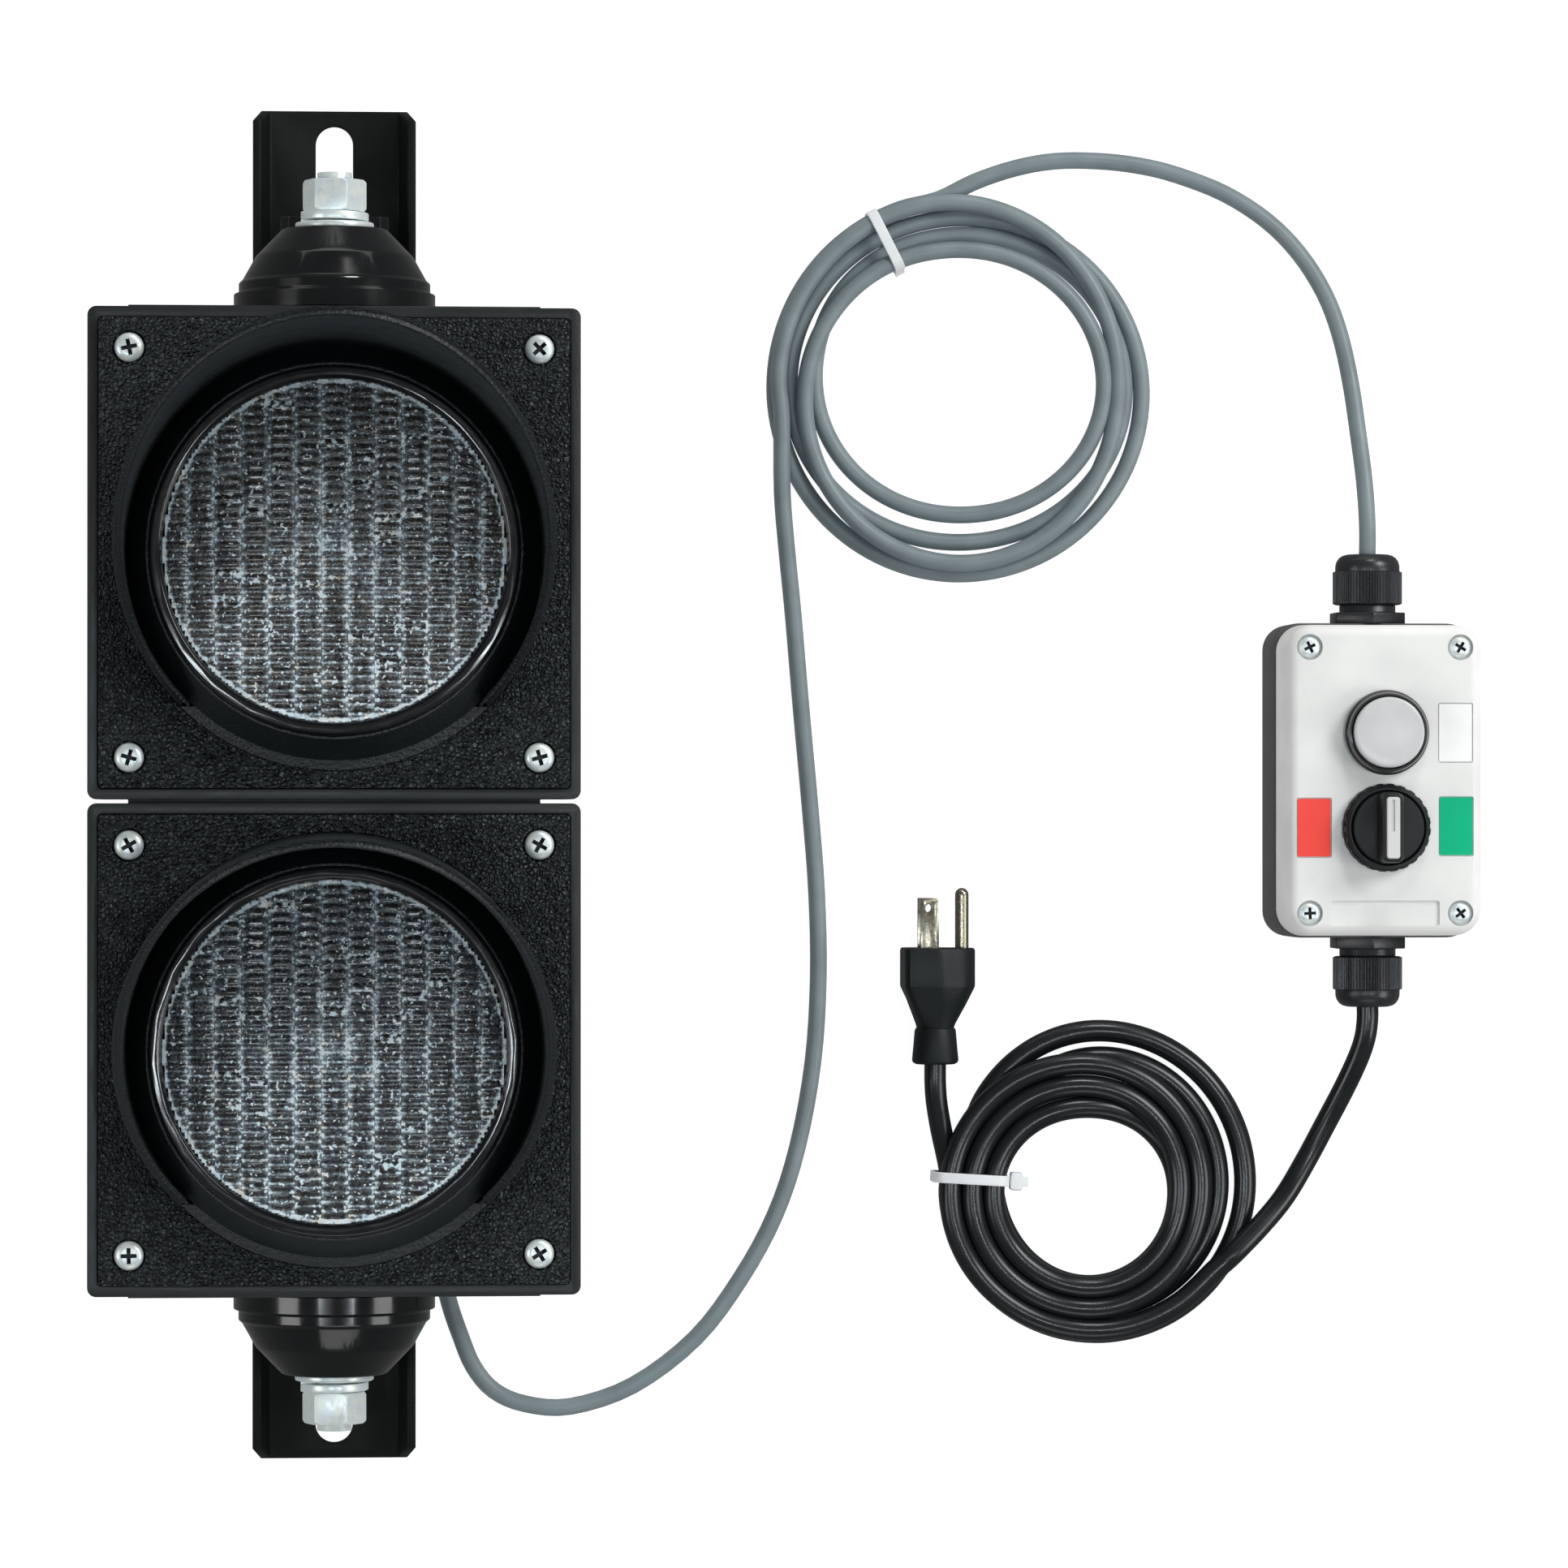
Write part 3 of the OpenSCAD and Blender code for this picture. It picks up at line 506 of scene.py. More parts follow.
def rounded_outline(width, height, radius, steps=8):
    """Corner-rounded rectangle about the origin, counter-clockwise."""
    points = []
    for quarter, (sx, sy) in enumerate(((1, 1), (-1, 1), (-1, -1), (1, -1))):
        for k in range(steps + 1):
            a = math.radians(90 * (quarter + k / steps))
            points.append((sx * (width / 2 - radius) + radius * math.cos(a),
                           sy * (height / 2 - radius) + radius * math.sin(a)))
    return points


def capped_loft(name, loops, smooth=30):
    """Closed skin over loops with the same number of points, with a flat cap at each end."""
    count = len(loops[0])
    points = [p for loop in loops for p in loop]
    faces = ring_faces(len(loops), count)
    faces.append(tuple(range(count)))
    faces.append(tuple(range((len(loops) - 1) * count, len(loops) * count)))
    return mesh_object(name, points, faces, smooth)


def smooth_line(points, per=6):
    """Catmull-Rom line through points."""
    line = []
    last = len(points) - 1
    for i in range(last):
        p0, p1 = points[max(i - 1, 0)], points[i]
        p2, p3 = points[i + 1], points[min(i + 2, last)]
        for k in range(per):
            t = k / per
            line.append(0.5 * (2 * p1 + (p2 - p0) * t + (2 * p0 - 5 * p1 + 4 * p2 - p3) * t * t
                               + (3 * p1 - p0 - 3 * p2 + p3) * t ** 3))
    return line + [points[-1]]


# ---------- cords ----------

GREY_D = 6.0
BLACK_D = 7.8

# free stretches, in mm, as in the CAD part; the grey one starts with a quarter bend under the head
GREY_EXIT = (38, -140, 28.2)
GREY_BEND = 24
GREY_A = [(38.3, -173, 3.2), (40.6, -183, 3.2), (44.2, -193.5, 3.2), (48.8, -204.5, 3.2), (56, -213, 3.2),
          (67, -217.8, 3.2), (83, -218.8, 3.2), (105, -211.5, 3.2), (127, -195, 3.2), (143, -174, 3.2),
          (155, -152, 3.2), (163, -128, 3.2), (168.5, -98, 3.2), (170.4, -68, 3.2), (169.8, -38, 3.2),
          (167.5, -8, 3.2), (164.4, 26, 3.2), (161.5, 60, 3.4), (159.1, 83, 5.2), (157.3, 103, 8)]
GREY_B = [(226, 213.2, 3.2), (240, 218, 3.2), (254, 220.6, 3.2), (269, 220.8, 3.2), (284, 219.3, 3.2),
          (298, 216, 3.2), (315, 209.5, 3.2), (330, 200, 3.2), (341.5, 188.5, 3.2), (350.5, 174.5, 3.2),
          (356, 160, 3.6), (359.6, 143, 5), (361.8, 125, 8), (363.4, 107, 12.4), (364, 92, 15),
          (364, 81.3, 15)]
BLACK_A = [(364, -78.5, 15), (364, -83, 15), (363.2, -89.5, 14.4), (361, -97, 12.2), (356.6, -107.5, 9),
           (350.3, -120.3, 6.2), (343.2, -133.7, 5.4), (335.5, -146, 6.8), (327, -155.6, 9.6)]
BLACK_B = [(213.4, -121.5, 8.4), (211.6, -112, 11), (211, -105, 12), (211, -98.4, 12)]

# coils, wound clockwise: degrees turned since the start, radius and height in mm
GREY_COIL = (220, 140)
GREY_START = 190
GREY_TURNS = [(0, 64, 9.4), (50, 64.9, 9.5), (100, 65.2, 9.5), (190, 56, 9.4), (280, 62, 9.4),
              (370, 54.6, 9.4), (415, 51, 9.4), (460, 48.6, 9.4), (550, 51.2, 9.4), (640, 44.8, 6),
              (730, 50.8, 3.2), (775, 53.7, 3.2), (820, 54.3, 3.2), (910, 59.2, 3.2), (1000, 54.4, 3.2),
              (1090, 59.8, 3.2), (1180, 60.3, 3.2), (1270, 65.2, 3.2), (1360, 65.6, 3.2), (1450, 65, 3.2),
              (1510, 66.1, 3.2), (1534, 67.2, 3.2)]
BLACK_COIL = (268, -141.5)
BLACK_START = -19
BLACK_TURNS = [(5.5, 55, 12.2), (17.3, 51.5, 12.2), (36, 50.8, 12.2), (71, 50.8, 12.2), (161, 51.7, 12.2),
               (251, 42.9, 12.2), (341, 37.3, 12.2), (431, 43.2, 12.2), (521, 43.9, 12.2), (611, 35, 12.2),
               (701, 29.8, 12.2), (791, 35.7, 12.2), (881, 36.3, 12.2), (971, 27.6, 10.5), (1061, 30, 4.1),
               (1151, 35.8, 4.1), (1241, 35.8, 4.1), (1331, 45, 4.1), (1421, 44.3, 4.1), (1511, 43.8, 4.1),
               (1601, 43.6, 4.1), (1636, 49, 4.1), (1691, 54.4, 4.1), (1781, 54, 4.1), (1871, 52.2, 4.1),
               (1947, 51.4, 4.3), (1967, 51.6, 5.4)]


def coil_points(centre, start, turns, per_turn=30):
    """Points along a clockwise coil whose radius and height run smoothly through the listed turns."""
    last = len(turns) - 1
    slopes = []
    for i in range(last + 1):
        before, after = turns[max(i - 1, 0)], turns[min(i + 1, last)]
        slopes.append([(after[c] - before[c]) / (after[0] - before[0]) for c in (1, 2)])
    points = []
    for i in range(last):
        span = turns[i + 1][0] - turns[i][0]
        count = max(2, round(per_turn * span / 360))
        for k in range(count + (i == last - 1)):
            t = k / count
            weights = (2 * t ** 3 - 3 * t * t + 1, t ** 3 - 2 * t * t + t,
                       3 * t * t - 2 * t ** 3, t ** 3 - t * t)
            r, z = (weights[0] * turns[i][c] + weights[1] * span * slopes[i][c - 1]
                    + weights[2] * turns[i + 1][c] + weights[3] * span * slopes[i + 1][c - 1] for c in (1, 2))
            a = math.radians(start - turns[i][0] - span * t)
            points.append((centre[0] + r * math.cos(a), centre[1] + r * math.sin(a), z))
    return points


def cord_object(name, points, diameter):
    """A round cord through points in mm; returns it with its length in metres."""
    line = smooth_line([Vector(p) * MM for p in points], 4)
    curve = bpy.data.curves.new(name, "CURVE")
    curve.dimensions = "3D"
    curve.bevel_depth = diameter * MM / 2
    curve.bevel_resolution = 6
    curve.use_fill_caps = True
    spline = curve.splines.new("POLY")
    spline.points.add(len(line) - 1)
    for point, place in zip(spline.points, line):
        point.co = (*place, 1)
    spline.use_smooth = True
    return in_scene(name, curve), sum((b - a).length for a, b in zip(line, line[1:]))


def make_grey_cable():
    """From the lower section's back, down to the floor, round the big coil and up to the station's top gland."""
    x, y, z = GREY_EXIT
    bend = [GREY_EXIT]
    for k in range(7):
        t = math.radians(15 * k)
        bend.append((x, y - GREY_BEND * (1 - math.cos(t)), z - 1 - GREY_BEND * math.sin(t)))
    route = bend + GREY_A + coil_points(GREY_COIL, GREY_START, GREY_TURNS) + GREY_B
    cable, length = cord_object("grey_cable", route, GREY_D)
    finish_piece(cable, "cable_grey", replaces=["grey_cable_a", "grey_coil", "grey_cable_b"])


def make_black_cord():
    """From the station's bottom gland, round the tight coil and into the plug."""
    route = BLACK_A + coil_points(BLACK_COIL, BLACK_START, BLACK_TURNS) + BLACK_B
    cord, length = cord_object("black_cord", route, BLACK_D)
    finish_piece(cord, "cord_black", replaces=["black_cord_a", "black_coil", "black_cord_b"])
    [c * MM for c in BLACK_A[0]]


TIE_WIDE = 3.7
TIE_THICK = 1.0
TIE_CORNER = 4.2
TIE_RIDGES = 3
TIE_FLOOR = 0.15
TIE_HEAD = (4.4, 6.4)


def make_tie(name, node, centre, angle, inner, outer, top, head_at):
    """A thin nylon strap round a coil, in mm: its ratchet head is inside the ring, with a clipped tail."""
    a = math.radians(angle)
    out = Vector((math.cos(a), math.sin(a), 0))
    side = Vector((-math.sin(a), math.cos(a), 0))
    up = Vector((0, 0, 1))
    start = Vector((*centre, 0))
    middle_x, middle_z = (inner + outer) / 2, (top + TIE_FLOOR) / 2
    outlines = [rounded_outline(outer - inner - 2 * d, top - TIE_FLOOR - 2 * d, TIE_CORNER - d, 6)
                for d in (0, TIE_THICK)]
    loops = []
    for (x0, z0), (x1, z1) in zip(*outlines):
        skin = start + out * (middle_x + x0) + up * (middle_z + z0)
        under = start + out * (middle_x + x1) + up * (middle_z + z1)
        shoulder = skin * 0.8 + under * 0.2
        ring = [under - side * TIE_WIDE / 2, shoulder - side * TIE_WIDE / 2]
        for k in range(TIE_RIDGES + 1):
            ring.append(skin * (0.94 if k % 2 else 1) + under * (0.06 if k % 2 else 0)
                        + side * TIE_WIDE * 0.46 * (2 * k / TIE_RIDGES - 1))
        ring += [shoulder + side * TIE_WIDE / 2, under + side * TIE_WIDE / 2]
        loops.append([p * MM for p in ring])
    count = len(loops[0])
    loops.append(loops[0])
    strap = mesh_object(name, [p for ring in loops for p in ring], ring_faces(len(loops), count), 40)
    radial, height = head_at
    head = rounded_outline(*TIE_HEAD, 0.9, 4)
    base = start + out * radial + up * height
    blocks = []
    for h, scale in ((0, 0.88), (0.5, 1), (4.6, 1), (5.1, 0.88)):
        blocks.append([(base + out * x * scale + side * y * scale + up * h) * MM for x, y in head])
    lump = capped_loft(name + "_head", blocks, 40)
    tail_at = base + up * 2.6 - out * 2
    tail_corners = ((-1.8, -0.5), (1.8, -0.5), (1.8, 0.5), (-1.8, 0.5))
    tail = [[(tail_at - out * s + side * y + up * z) * MM for y, z in tail_corners] for s in (0, 2.3)]
    stub = capped_loft(name + "_tail", tail, 40)
    join([strap, lump, stub])
    bevel_edges(strap, 0.15 * MM)
    return finish_piece(strap, "tie_white", replaces=[node])


def join(pieces):
    """Adds the later meshes to the first one."""
    made = bmesh.new()
    for piece in pieces:
        made.from_mesh(piece.data)
    made.to_mesh(pieces[0].data)
    made.free()
    for piece in pieces[1:]:
        bpy.data.objects.remove(piece)
    shade(pieces[0], 35)
    return pieces[0]


def carve(piece, cutters):
    """Cuts the later shapes out of the first, and removes them."""
    for cutter in cutters:
        cut = piece.modifiers.new("cut", "BOOLEAN")
        cut.operation = "DIFFERENCE"
        cut.solver = "EXACT"
        cut.object = cutter
    apply_modifiers(piece)
    for cutter in cutters:
        bpy.data.objects.remove(cutter)
    shade(piece, 35)


def bevel_edges(piece, width):
    add_bevel(piece, width, 2, 35)
    shade(piece, 35)


# ---------- plug ----------

# middle of the plug's face, and its cross-section about it, in mm
PLUG = Vector((211, -57.5, 12))
PLUG_HALF = 11.8
PLUG_LEFT = 11.5
PLUG_STRAIGHT = 1.5
LOBE_AT = 4.5
LOBE_R = 9.6
PLUG_STEPS = 72


def plug_radii():
    """Angle and distance round the plug's cross-section: a box round the blades and a lobe round the pin."""
    corners = [(PLUG_STRAIGHT, PLUG_HALF), (-PLUG_LEFT, PLUG_HALF), (-PLUG_LEFT, -PLUG_HALF),
               (PLUG_STRAIGHT, -PLUG_HALF)]
    lobe = [(LOBE_AT + LOBE_R * math.cos(math.radians(t)), LOBE_R * math.sin(math.radians(t)))
            for t in range(-75, 76, 10)]
    outline = corners + lobe
    ring = []
    for k in range(PLUG_STEPS):
        a = 2 * math.pi * k / PLUG_STEPS
        d = Vector((math.cos(a), math.sin(a)))
        farthest = 0
        for p, q in zip(outline, outline[1:] + outline[:1]):
            p, q = Vector(p), Vector(q)
            e = q - p
            cross = d.x * e.y - d.y * e.x
            if abs(cross) > 1e-9:
                t = (p.x * e.y - p.y * e.x) / cross
                u = (p.x * d.y - p.y * d.x) / cross
                if t > 0 and -1e-6 <= u <= 1 + 1e-6:
                    farthest = max(farthest, t)
        ring.append((a, farthest))
    return ring


def make_plug_body():
    """A moulded body that narrows to a round neck, with a collar where the cord comes out."""
    ring = plug_radii()
    soft = [sum(ring[(k + j) % PLUG_STEPS][1] for j in (-1, 0, 1)) / 3 for k in range(PLUG_STEPS)]
    # distance behind the face, share of the way to the round neck, scale, neck radius
    steps = [(0, 0, 0.95, 7), (0.35, 0, 0.985, 7), (0.9, 0, 1, 7), (13.2, 0, 1, 7), (14, 0.03, 1, 7),
             (20, 0.45, 1, 6.8), (26.5, 0.92, 1, 6.6), (28, 1, 1, 6.6), (28.5, 1, 1, 7.1), (29.2, 1, 1, 7.3),
             (34, 1, 1, 7.7), (39.4, 1, 1, 8.2), (40.3, 1, 1, 7.9), (40.9, 1, 1, 6.8)]
    loops = []
    for back, share, scale, neck in steps:
        loop = []
        for k, (a, _) in enumerate(ring):
            r = (soft[k] * (1 - share) + neck * share) * scale
            loop.append(Vector((PLUG.x + r * math.cos(a), PLUG.y - back, PLUG.z + r * math.sin(a))) * MM)
        loops.append(loop)
    body = capped_loft("plug_body_look", loops, 28)
    return finish_piece(body, "plug_black", replaces=["plug_body"])


make_tie("grey_tie_look", "grey_tie", GREY_COIL, 117, 46.0, 69.8, 13.4, (49.3, 0.6))
make_tie("black_tie_look", "black_tie", BLACK_COIL, 176.5, 31.2, 58.2, 17.2, (28.4, 8.5))
make_plug_body()
make_grey_cable()
make_black_cord()


# ---------- lenses and visors ----------


LENS_RISE = 0.42
LENS_BELOW = 0.9
LENS_CROWN = 500
LENS_ACROSS, LENS_DOWN = 8, 5


def make_lens(which):
    """A shallow dome covered in staggered pillow-shaped lenslets, in upright columns."""
    centre = SECTIONS[which]
    node = which + "_lens"
    top = high(node).z / MM
    step_x, step_y = LENS_COLUMN / LENS_ACROSS, LENS_ROW / LENS_DOWN
    nx, ny = math.ceil(LENS_RADIUS / step_x), math.ceil(LENS_RADIUS / step_y)
    index, points, faces, uvs = {}, [], [], []
    for j in range(-ny, ny + 1):
        for i in range(-nx, nx + 1):
            x, y = i * step_x, j * step_y
            r = math.hypot(x, y)
            if r > LENS_RADIUS:
                continue
            u = (x / LENS_COLUMN + 0.5) % 1 * 2 - 1
            shift = 0.5 * (math.floor(x / LENS_COLUMN + 0.5) % 2)
            v = (y / LENS_ROW + shift) % 1 * 2 - 1
            pillow = LENS_RISE * (1 - u ** 4) * (1 - v * v)
            z = top - LENS_BELOW - r * r / LENS_CROWN + pillow
            index[i, j] = len(points)
            points.append(((centre.x / MM + x) * MM, (centre.y / MM + y) * MM, z * MM))
            uvs.append((x / LENS_COLUMN, y / LENS_ROW))
    for (i, j), k in index.items():
        corners = [(i + 1, j), (i + 1, j + 1), (i, j + 1)]
        if all(c in index for c in corners):
            faces.append((k, *[index[c] for c in corners]))
    mesh = bpy.data.meshes.new(which + "_lens_look")
    mesh.from_pydata(points, [], faces)
    layer = mesh.uv_layers.new(name="lens")
    for loop in mesh.loops:
        layer.data[loop.index].uv = uvs[loop.vertex_index]
    piece = in_scene(mesh.name, mesh)
    mesh.polygons.foreach_set("use_smooth", [True] * len(mesh.polygons))
    return finish_piece(piece, "lens_clear", replaces=[node])


# the visor's wall and its slanting cut, in metres from the door's face and the section's middle
VISOR_R = 0.0705
VISOR_NARROWS = 0.0008
VISOR_DEPTH = 0.145
CUT_LOW = 0.007
CUT_FRONT = 0.0525
CUT_BACK = 0.0714
BEAD_SECTION = ((-0.0006, -0.0002), (-0.00035, 0.00035), (0.00035, 0.00035), (0.0006, -0.0002))


def make_visor_bead(which):
    """The thin raised line that runs along the middle of the visor's cut edge."""
    centre = SECTIONS[which]
    slope = (high(which + "_visor").z - DOOR_Z - CUT_LOW) / (CUT_BACK + CUT_FRONT)
    tilt = math.atan(slope)
    normal = Vector((0, -math.sin(tilt), math.cos(tilt)))
    points = []
    steps = 120
    for k in range(steps + 1):
        a = math.radians(-46.5 + 273 * k / steps)
        y = VISOR_R * math.sin(a)
        z = DOOR_Z + CUT_LOW + (y + CUT_FRONT) * slope
        r = VISOR_R - VISOR_NARROWS * (z - DOOR_Z) / VISOR_DEPTH
        at = Vector((centre.x + r * math.cos(a), centre.y + r * math.sin(a), z))
        out = Vector((math.cos(a), math.sin(a), 0))
        points += [at + out * shift + normal * lift for shift, lift in BEAD_SECTION]
    bead = mesh_object(which + "_visor_bead", points, ring_faces(steps + 1, 4), 60)
    return finish_piece(bead, "visor_black")


for which in SECTIONS:
    make_lens(which)
    make_visor_bead(which)


# ---------- glands, washers and operators ----------


def gland_place(node_y, direction):
    """Places points about a gland's axis, which runs along Y from node_y."""
    centre_x, z = middle("gland_nuts").x / MM, middle("gland_nuts").z / MM

    def place(x, y, h):
        return Vector((centre_x + x, node_y + direction * h, z + y)) * MM

    return place


def make_gland_nuts():
    """Domed nylon caps with fine ribs round their grip."""
    ribs, rib_height = 72, 0.3
    long = 18
    profile = [(7.5, 0.1), (11.2, 0.1), (11.9, 0.5), (11.9, 6), (11.9, 11.6), (11.3, 12), (11.35, 12.4),
               (11.3, 14), (10.9, 15.4), (10.0, 16.7), (8.8, 17.5), (7.2, 17.9), (4.4, long), (3.6, 17.4),
               (3.2, 16)]

    def ribbed(row, r, a):
        return r + (rib_height * math.cos(ribs * a) if 2 <= row <= 4 else 0)

    nuts = []
    ends = (("top", high("gland_nuts").y / MM - long, 1), ("bottom", low("gland_nuts").y / MM + long, -1))
    for name, y, direction in ends:
        nuts.append(revolved("gland_nut_" + name, profile, gland_place(y, direction), ribs * 5, 40, ribbed))
    return finish_piece(join(nuts), "gland_black", replaces=["gland_nuts"])


def make_spring_washer(side):
    """One turn of square wire, its two ends a little apart."""
    node = side + "_spring_washer"
    direction = 1 if side == "top" else -1
    base = (low(node).y if side == "top" else high(node).y) / MM
    inner, outer, thick, pitch = 6.4, 11.6, 2.7, 1.1
    first, turned = 188, 346
    steps = 72
    points = []
    for k in range(steps + 1):
        a = math.radians(first + turned * k / steps)
        h = pitch * k / steps
        for r, z in ((inner, 0), (outer, 0), (outer, thick), (inner, thick)):
            y = base + direction * (h + z)
            points.append(Vector((r * math.cos(a), y, BOLT_Z / MM + r * math.sin(a))) * MM)
    faces = ring_faces(steps + 1, 4) + [(0, 1, 2, 3), tuple(steps * 4 + n for n in range(4))]
    washer = mesh_object(node + "_look", points, faces, 40)
    bevel_edges(washer, 0.3 * MM)
    return finish_piece(washer, "zinc_steel", side + "_mount", [node])


def on_front(x, y):
    """Places points about a spot (x, y) on the station's front, in mm."""

    def place(dx, dy, h):
        return Vector((x + dx, y + dy, BOX_FRONT / MM + h)) * MM

    return place


def operator_place(node):
    at = middle(node) / MM
    return on_front(at.x, at.y)


def make_button():
    """Smoky collar in two steps, and a flat milky cap with a rounded rim."""
    collar = [(8.2, -17.9), (10.9, -17.9), (10.9, 0.0), (14.6, 0.0), (14.75, 0.4), (14.75, 3.6), (14.3, 4.3),
              (13.9, 4.6), (13.9, 6.2), (13.5, 7.0), (12.95, 7.1), (12.7, 6.6), (12.7, 1.2), (8.3, 1.2),
              (8.2, -17.9)]
    piece = revolved("button_bezel_look", collar, operator_place("button_bezel"))
    finish_piece(piece, "bezel_smoke", replaces=["button_bezel"])
    place = operator_place("button_cap")
    cap = [(0, 5.3), (12.1, 5.3), (12.25, 5.8), (12.25, 8.7), (12.05, 9.25), (11.6, 9.5), (11, 9.58),
           (6, 9.6), (0, 9.6)]
    top = revolved("button_cap_top", cap, place)
    stem = revolved("button_cap_stem", [(0, -12.9), (7.8, -12.9), (7.8, 5.5), (0, 5.5)], place)
    top.name = "button_cap_look"
    finish_piece(join([top, stem]), "button_white", "button", ["button_cap"])


def make_selector():
    """Notched black ring, disc and bar handle with a pale insert."""
    notches = 24

    def notched(row, r, a):
        turn = (a * notches / (2 * math.pi)) % 1
        return r - (0.55 if 4 <= row <= 5 and turn < 0.28 else 0)

    ring = [(8.2, -17.9), (10.9, -17.9), (10.9, 0.0), (15.1, 0.0), (15.35, 0.4), (15.35, 3.4), (14.9, 4.3),
            (14.3, 4.7), (14.3, 6.3), (13.8, 7.05), (13.2, 7.1), (12.95, 6.6), (12.95, 1.2), (8.3, 1.2),
            (8.2, -17.9)]
    piece = revolved("selector_ring_look", ring, operator_place("selector_ring"), notches * 8, 30, notched)
    finish_piece(piece, "selector_black", replaces=["selector_ring"])
    place = operator_place("selector_knob")
    rim = [(0, 1.5), (12.3, 1.5), (12.5, 1.9), (12.5, 7.3), (12.1, 7.9), (11.4, 8), (0, 8)]
    disc = revolved("selector_disc", rim, place)
    stem = revolved("selector_stem", [(0, -16.9), (7.8, -16.9), (7.8, 2), (0, 2)], place)
    # height, width and length of the bar's levels, the last two in the groove that holds the insert
    levels = ((6, 8.6, 24.6), (8, 8.3, 24.5), (14, 7.9, 24.2), (16, 7.7, 24), (16.8, 7.2, 23.5),
              (17, 6.6, 22.9), (17, 5.0, 21.6), (16.3, 4.9, 21.5))
    bar = capped_loft("selector_bar", [
        [place(x, y, h) for x, y in rounded_outline(wide, long, min(2.2, wide / 2 - 0.2), 5)]
        for h, wide, long in levels
    ])
    disc.name = "selector_knob_look"
    finish_piece(join([disc, stem, bar]), "selector_black", "selector", ["selector_knob"])
    wide, long, corner = 4.7, 21.3, 1.1
    strip = capped_loft("selector_insert_look", [
        [place(x, y, h) for x, y in rounded_outline(wide - 2 * inset, long - 2 * inset, corner - inset, 4)]
        for h, inset in ((16.1, 0), (17.0, 0), (17.3, 0.35))
    ])
    groove = [[place(x, y + 4.2, h) for x, y in rounded_outline(1.0, 11, 0.45, 3)] for h in (16.7, 18)]
    carve(strip, [capped_loft("cut", groove)])
    finish_piece(strip, "insert_white", "selector", ["selector_insert"])


make_gland_nuts()
for side in ("top", "bottom"):
    make_spring_washer(side)
make_button()
make_selector()


# ---------- control station cover ----------


# the cover's screws from its middle, and the size of its recesses, in mm
SCREW_X, SCREW_Y = 26.4, 46.2
LEGEND = (12.3, 20.9, 0.7)
NAMEPLATE = (38, 8.8, 0.8)
RECESS = 0.9


def shifted(dx, dy):
    """Places points about a spot given from the middle of the station's front, in mm."""
    centre = BOX / MM
    return on_front(centre.x + dx, centre.y + dy)


def make_cover():
    """Light cover with a broad rounded edge and recesses for the screws, legends and nameplate."""
    lowest = low("box_cover") / MM
    highest = high("box_cover") / MM
    wide, tall = highest.x - lowest.x, highest.y - lowest.y
    centre = BOX / MM
    edge, draft, corner = 4.2, 0.5, 9.5
    levels = [(0.25, lowest.z), (0, lowest.z + 0.3), (draft, highest.z - edge)]
    for k in range(1, 9):
        t = math.radians(90 * k / 8)
        levels.append((draft + edge * (1 - math.cos(t)), highest.z - edge + edge * math.sin(t)))
    loops = []
    for inset, z in levels:
        outline = rounded_outline(wide - 2 * inset, tall - 2 * inset, corner - inset * 0.8, 10)
        loops.append([Vector((centre.x + x, centre.y + y, z)) * MM for x, y in outline])
    cover = capped_loft("box_cover_look", loops, 25)
    cutters = []
    for x in (-SCREW_X, SCREW_X):
        for y in (-SCREW_Y, SCREW_Y):
            cutters.append((revolved("cut", [(0, -2.4), (4.5, -2.4), (4.5, 3), (0, 3)], shifted(x, y), 48)))
    for sign in (-1, 1):
        hole = [(0, -9), (11.05, -9), (11.05, 3), (0, 3)]
        cutters.append(revolved("cut", hole, shifted(0, sign * OPERATOR_PITCH / MM / 2), 64))
    plates = [middle(n) / MM - centre for n in ("label_white", "label_green", "label_red")]
    pockets = [(p.x, p.y, LEGEND) for p in plates] + [(0, -SCREW_Y, NAMEPLATE)]
    for x, y, size in pockets:
        place = shifted(x, y)
        cutters.append(capped_loft("cut", [
            [place(u, v, z) for u, v in rounded_outline(*size, 3)] for z in (-RECESS, 3)
        ]))
    carve(cover, cutters)
    shade(cover, 25)
    return finish_piece(cover, "station_grey", replaces=["box_cover"])


make_cover()


# ---------- screws ----------


def cross_outline(radius):
    """Outline of a cross recess in a head of that radius, with its arm's half width."""
    arm, half = radius * 0.56, radius * 0.13
    cross = []
    for quarter in range(4):
        c, q = math.cos(quarter * math.pi / 2), math.sin(quarter * math.pi / 2)
        for u, v in ((half, -half), (arm, -half), (arm, half)):
            cross.append((u * c - v * q, u * q + v * c))
    return cross, half


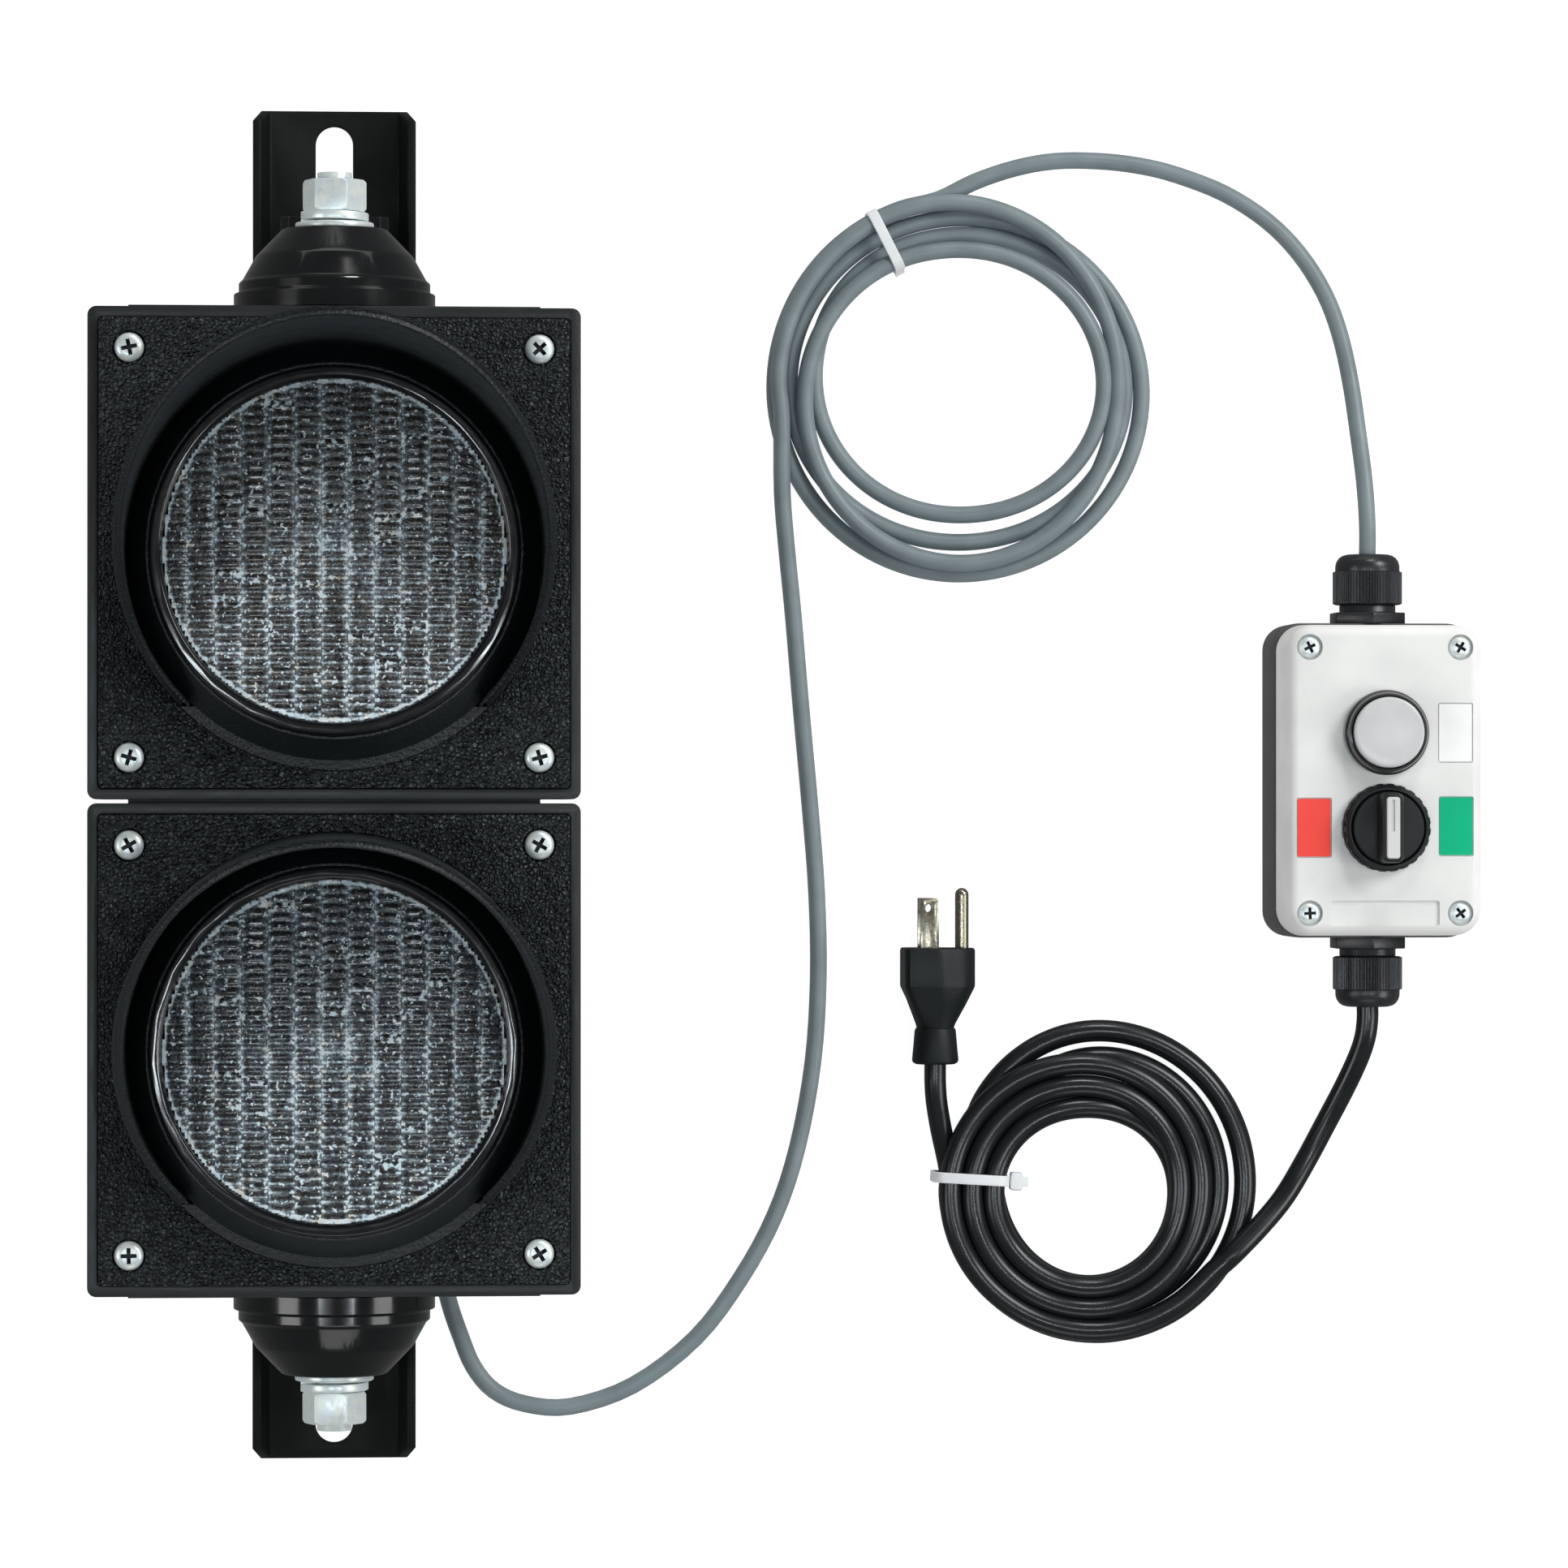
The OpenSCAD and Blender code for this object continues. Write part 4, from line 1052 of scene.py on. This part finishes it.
def make_screws(node, spots, base, radius, rise, shank, length):
    """Pan-head screws, each with a deep cross recess turned its own way, whose inside faces are painted dark as
    shade.
    """
    made = []
    cross, half = cross_outline(radius)
    for x, y, turn in spots:
        angle = math.radians(turn)

        def place(u, v, w):
            return Vector((x + u * math.cos(angle) - v * math.sin(angle),
                           y + u * math.sin(angle) + v * math.cos(angle), base + w)) * MM

        head = [(0, -length), (shank, -length), (shank, 0), (radius - 0.15, 0), (radius, 0.2),
                (radius, rise * 0.3)]
        for k in range(1, 9):
            t = math.radians(90 * k / 8)
            head.append((radius * (0.42 + 0.58 * math.cos(t)), rise * (0.3 + 0.7 * math.sin(t))))
        head.append((0, rise))
        screw = revolved("screw", head, place, 48, 40)
        # height, and how far the recess opens there along and across its arms
        loops = []
        for w, long, wide in ((rise * 0.3, 0.45, 0.8), (rise + 0.3, 1.08, 1.1)):
            opened = [[c * (long if abs(c) > half * 1.5 else wide) for c in corner] for corner in cross]
            loops.append([place(u, v, w) for u, v in opened])
        carve(screw, [capped_loft("cut", loops)])
        made.append(screw)
    made[0].name = node + "_look"
    screws = finish_piece(join(made), "zinc_steel", replaces=[node])
    # painted shade: the faces inside each cross recess take the dark recess material
    screws.data.materials.append(PAINT["screw_recess"].material)
    for face in screws.data.polygons:
        at = face.center / MM
        near = min(math.hypot(at.x - x, at.y - y) for x, y, _ in spots)
        skin = base + rise - 0.05 * rise - near * near * 0.07 / radius
        if near < radius * 0.62 and base + rise * 0.25 < at.z < skin:
            face.material_index = 1
    return screws


def corner_spots(centre, half_x, half_y, turns):
    """Four screw places round a middle in metres, in mm, with the turn of each cross in degrees."""
    x, y = centre.x / MM, centre.y / MM
    corners = ((x - half_x, y + half_y), (x + half_x, y + half_y),
               (x - half_x, y - half_y), (x + half_x, y - half_y))
    return [(*corner, turn) for corner, turn in zip(corners, turns)]


DOOR_SCREW = 68.5

door_spots = []
for i, centre in enumerate(SECTIONS.values()):
    door_spots += corner_spots(centre, DOOR_SCREW, DOOR_SCREW, [12 + 31 * k + 17 * i for k in range(4)])
station_spots = corner_spots(BOX, SCREW_X, SCREW_Y, [25 + 34 * k for k in range(4)])
make_screws("door_screws", door_spots, DOOR_Z / MM - 1.4, 4.9, 2.9, 1.85, 22)
make_screws("box_screws", station_spots, BOX_FRONT / MM - 2.4, 3.85, 2.3, 1.65, 38)


# ---------- softened CAD shapes ----------

# width of the rounded edge, in mm
EDGE = {
    "upper_housing": 1.1, "lower_housing": 1.1, "upper_door": 0.45, "lower_door": 0.45, "lens_rings": 0.35,
    "upper_visor": 0.3, "lower_visor": 0.3, "top_bracket": 0.45, "bottom_bracket": 0.45, "top_bolt": 0.35,
    "bottom_bolt": 0.35, "top_flat_washer": 0.5, "bottom_flat_washer": 0.5, "top_nut": 0.3, "bottom_nut": 0.3,
    "box_base": 0.9, "gland_bodies": 0.35, "plug_blades": 0.3,
}
DOME_EDGE = 0.35

for node, width in EDGE.items():
    softened(node, width * MM)
for node in ("top_dome", "bottom_dome"):
    softened(node, DOME_EDGE * MM, segments=1, angle=10, smooth=6.5)


# ---------- studio ----------


SUBJECT = (0.15, 0, 0.05)
TOP_DOME = (0, 0.2, 0.08)
COOL = (0.86, 0.95, 1)
WHITE = (1, 1, 1)
# name, place, what it looks at, size, watts, colour
LIGHTS = [
    ("key", (1.7, 1.1, 1.6), SUBJECT, (1.0, 1.0), 29, WHITE),
    ("side", (1.9, -0.4, 1.3), SUBJECT, (0.9, 0.9), 11, WHITE),
    ("fill", (-1.7, -0.2, 1.3), SUBJECT, (0.9, 0.9), 11, WHITE),
    ("low", (0.2, -2.0, 1.2), SUBJECT, (1.4, 0.7), 5, WHITE),
    ("far", (0.1, 2.3, 0.25), SUBJECT, (2.6, 0.46), 5, WHITE),
    ("patch", (0.56, 1.85, 1.15), TOP_DOME, (0.4, 0.3), 8, WHITE),
    ("strip_left", (-0.42, -0.2, 2.3), SUBJECT, (0.12, 0.6), 5, COOL),
    ("strip_right", (0.62, -0.2, 2.3), SUBJECT, (0.12, 0.6), 5, COOL),
]
FLOOR_HALF = 6
FLOOR_Z = -0.0004


def area_light(name, place, aim, size, power, color):
    data = bpy.data.lights.new(name, "AREA")
    data.shape = "RECTANGLE"
    data.size, data.size_y = size
    data.energy = power
    data.color = color
    light = in_scene(name, data)
    light.location = place
    light.rotation_euler = (Vector(aim) - Vector(place)).to_track_quat("-Z", "Y").to_euler()


def make_floor():
    """Pale paper that glows a little, so that it stays white, and doesn't show in the glossy parts."""
    mesh = bpy.data.meshes.new("floor")
    corners = [(x * FLOOR_HALF, y * FLOOR_HALF, 0) for x, y in ((-1, -1), (1, -1), (1, 1), (-1, 1))]
    mesh.from_pydata(corners, [], [(0, 1, 2, 3)])
    floor = in_scene("floor", mesh)
    floor.location.z = FLOOR_Z
    floor.visible_glossy = False
    paper = Shader("floor_paper", (0.3, 0.3, 0.3), 0.95, specular=0)
    paper.surface.inputs["Emission Color"].default_value = (1, 1, 1, 1)
    paper.surface.inputs["Emission Strength"].default_value = 0.92
    mesh.materials.append(paper.material)


def make_studio():
    """Pale floor, soft lights and a dim white world."""
    make_floor()
    world = bpy.data.worlds.new("studio")
    world.use_nodes = True
    background = world.node_tree.nodes["Background"]
    background.inputs["Color"].default_value = (1, 1, 1, 1)
    background.inputs["Strength"].default_value = 0.16
    bpy.context.scene.world = world
    for light in LIGHTS:
        area_light(*light)
    bpy.context.scene.view_settings.view_transform = "Standard"


make_studio()
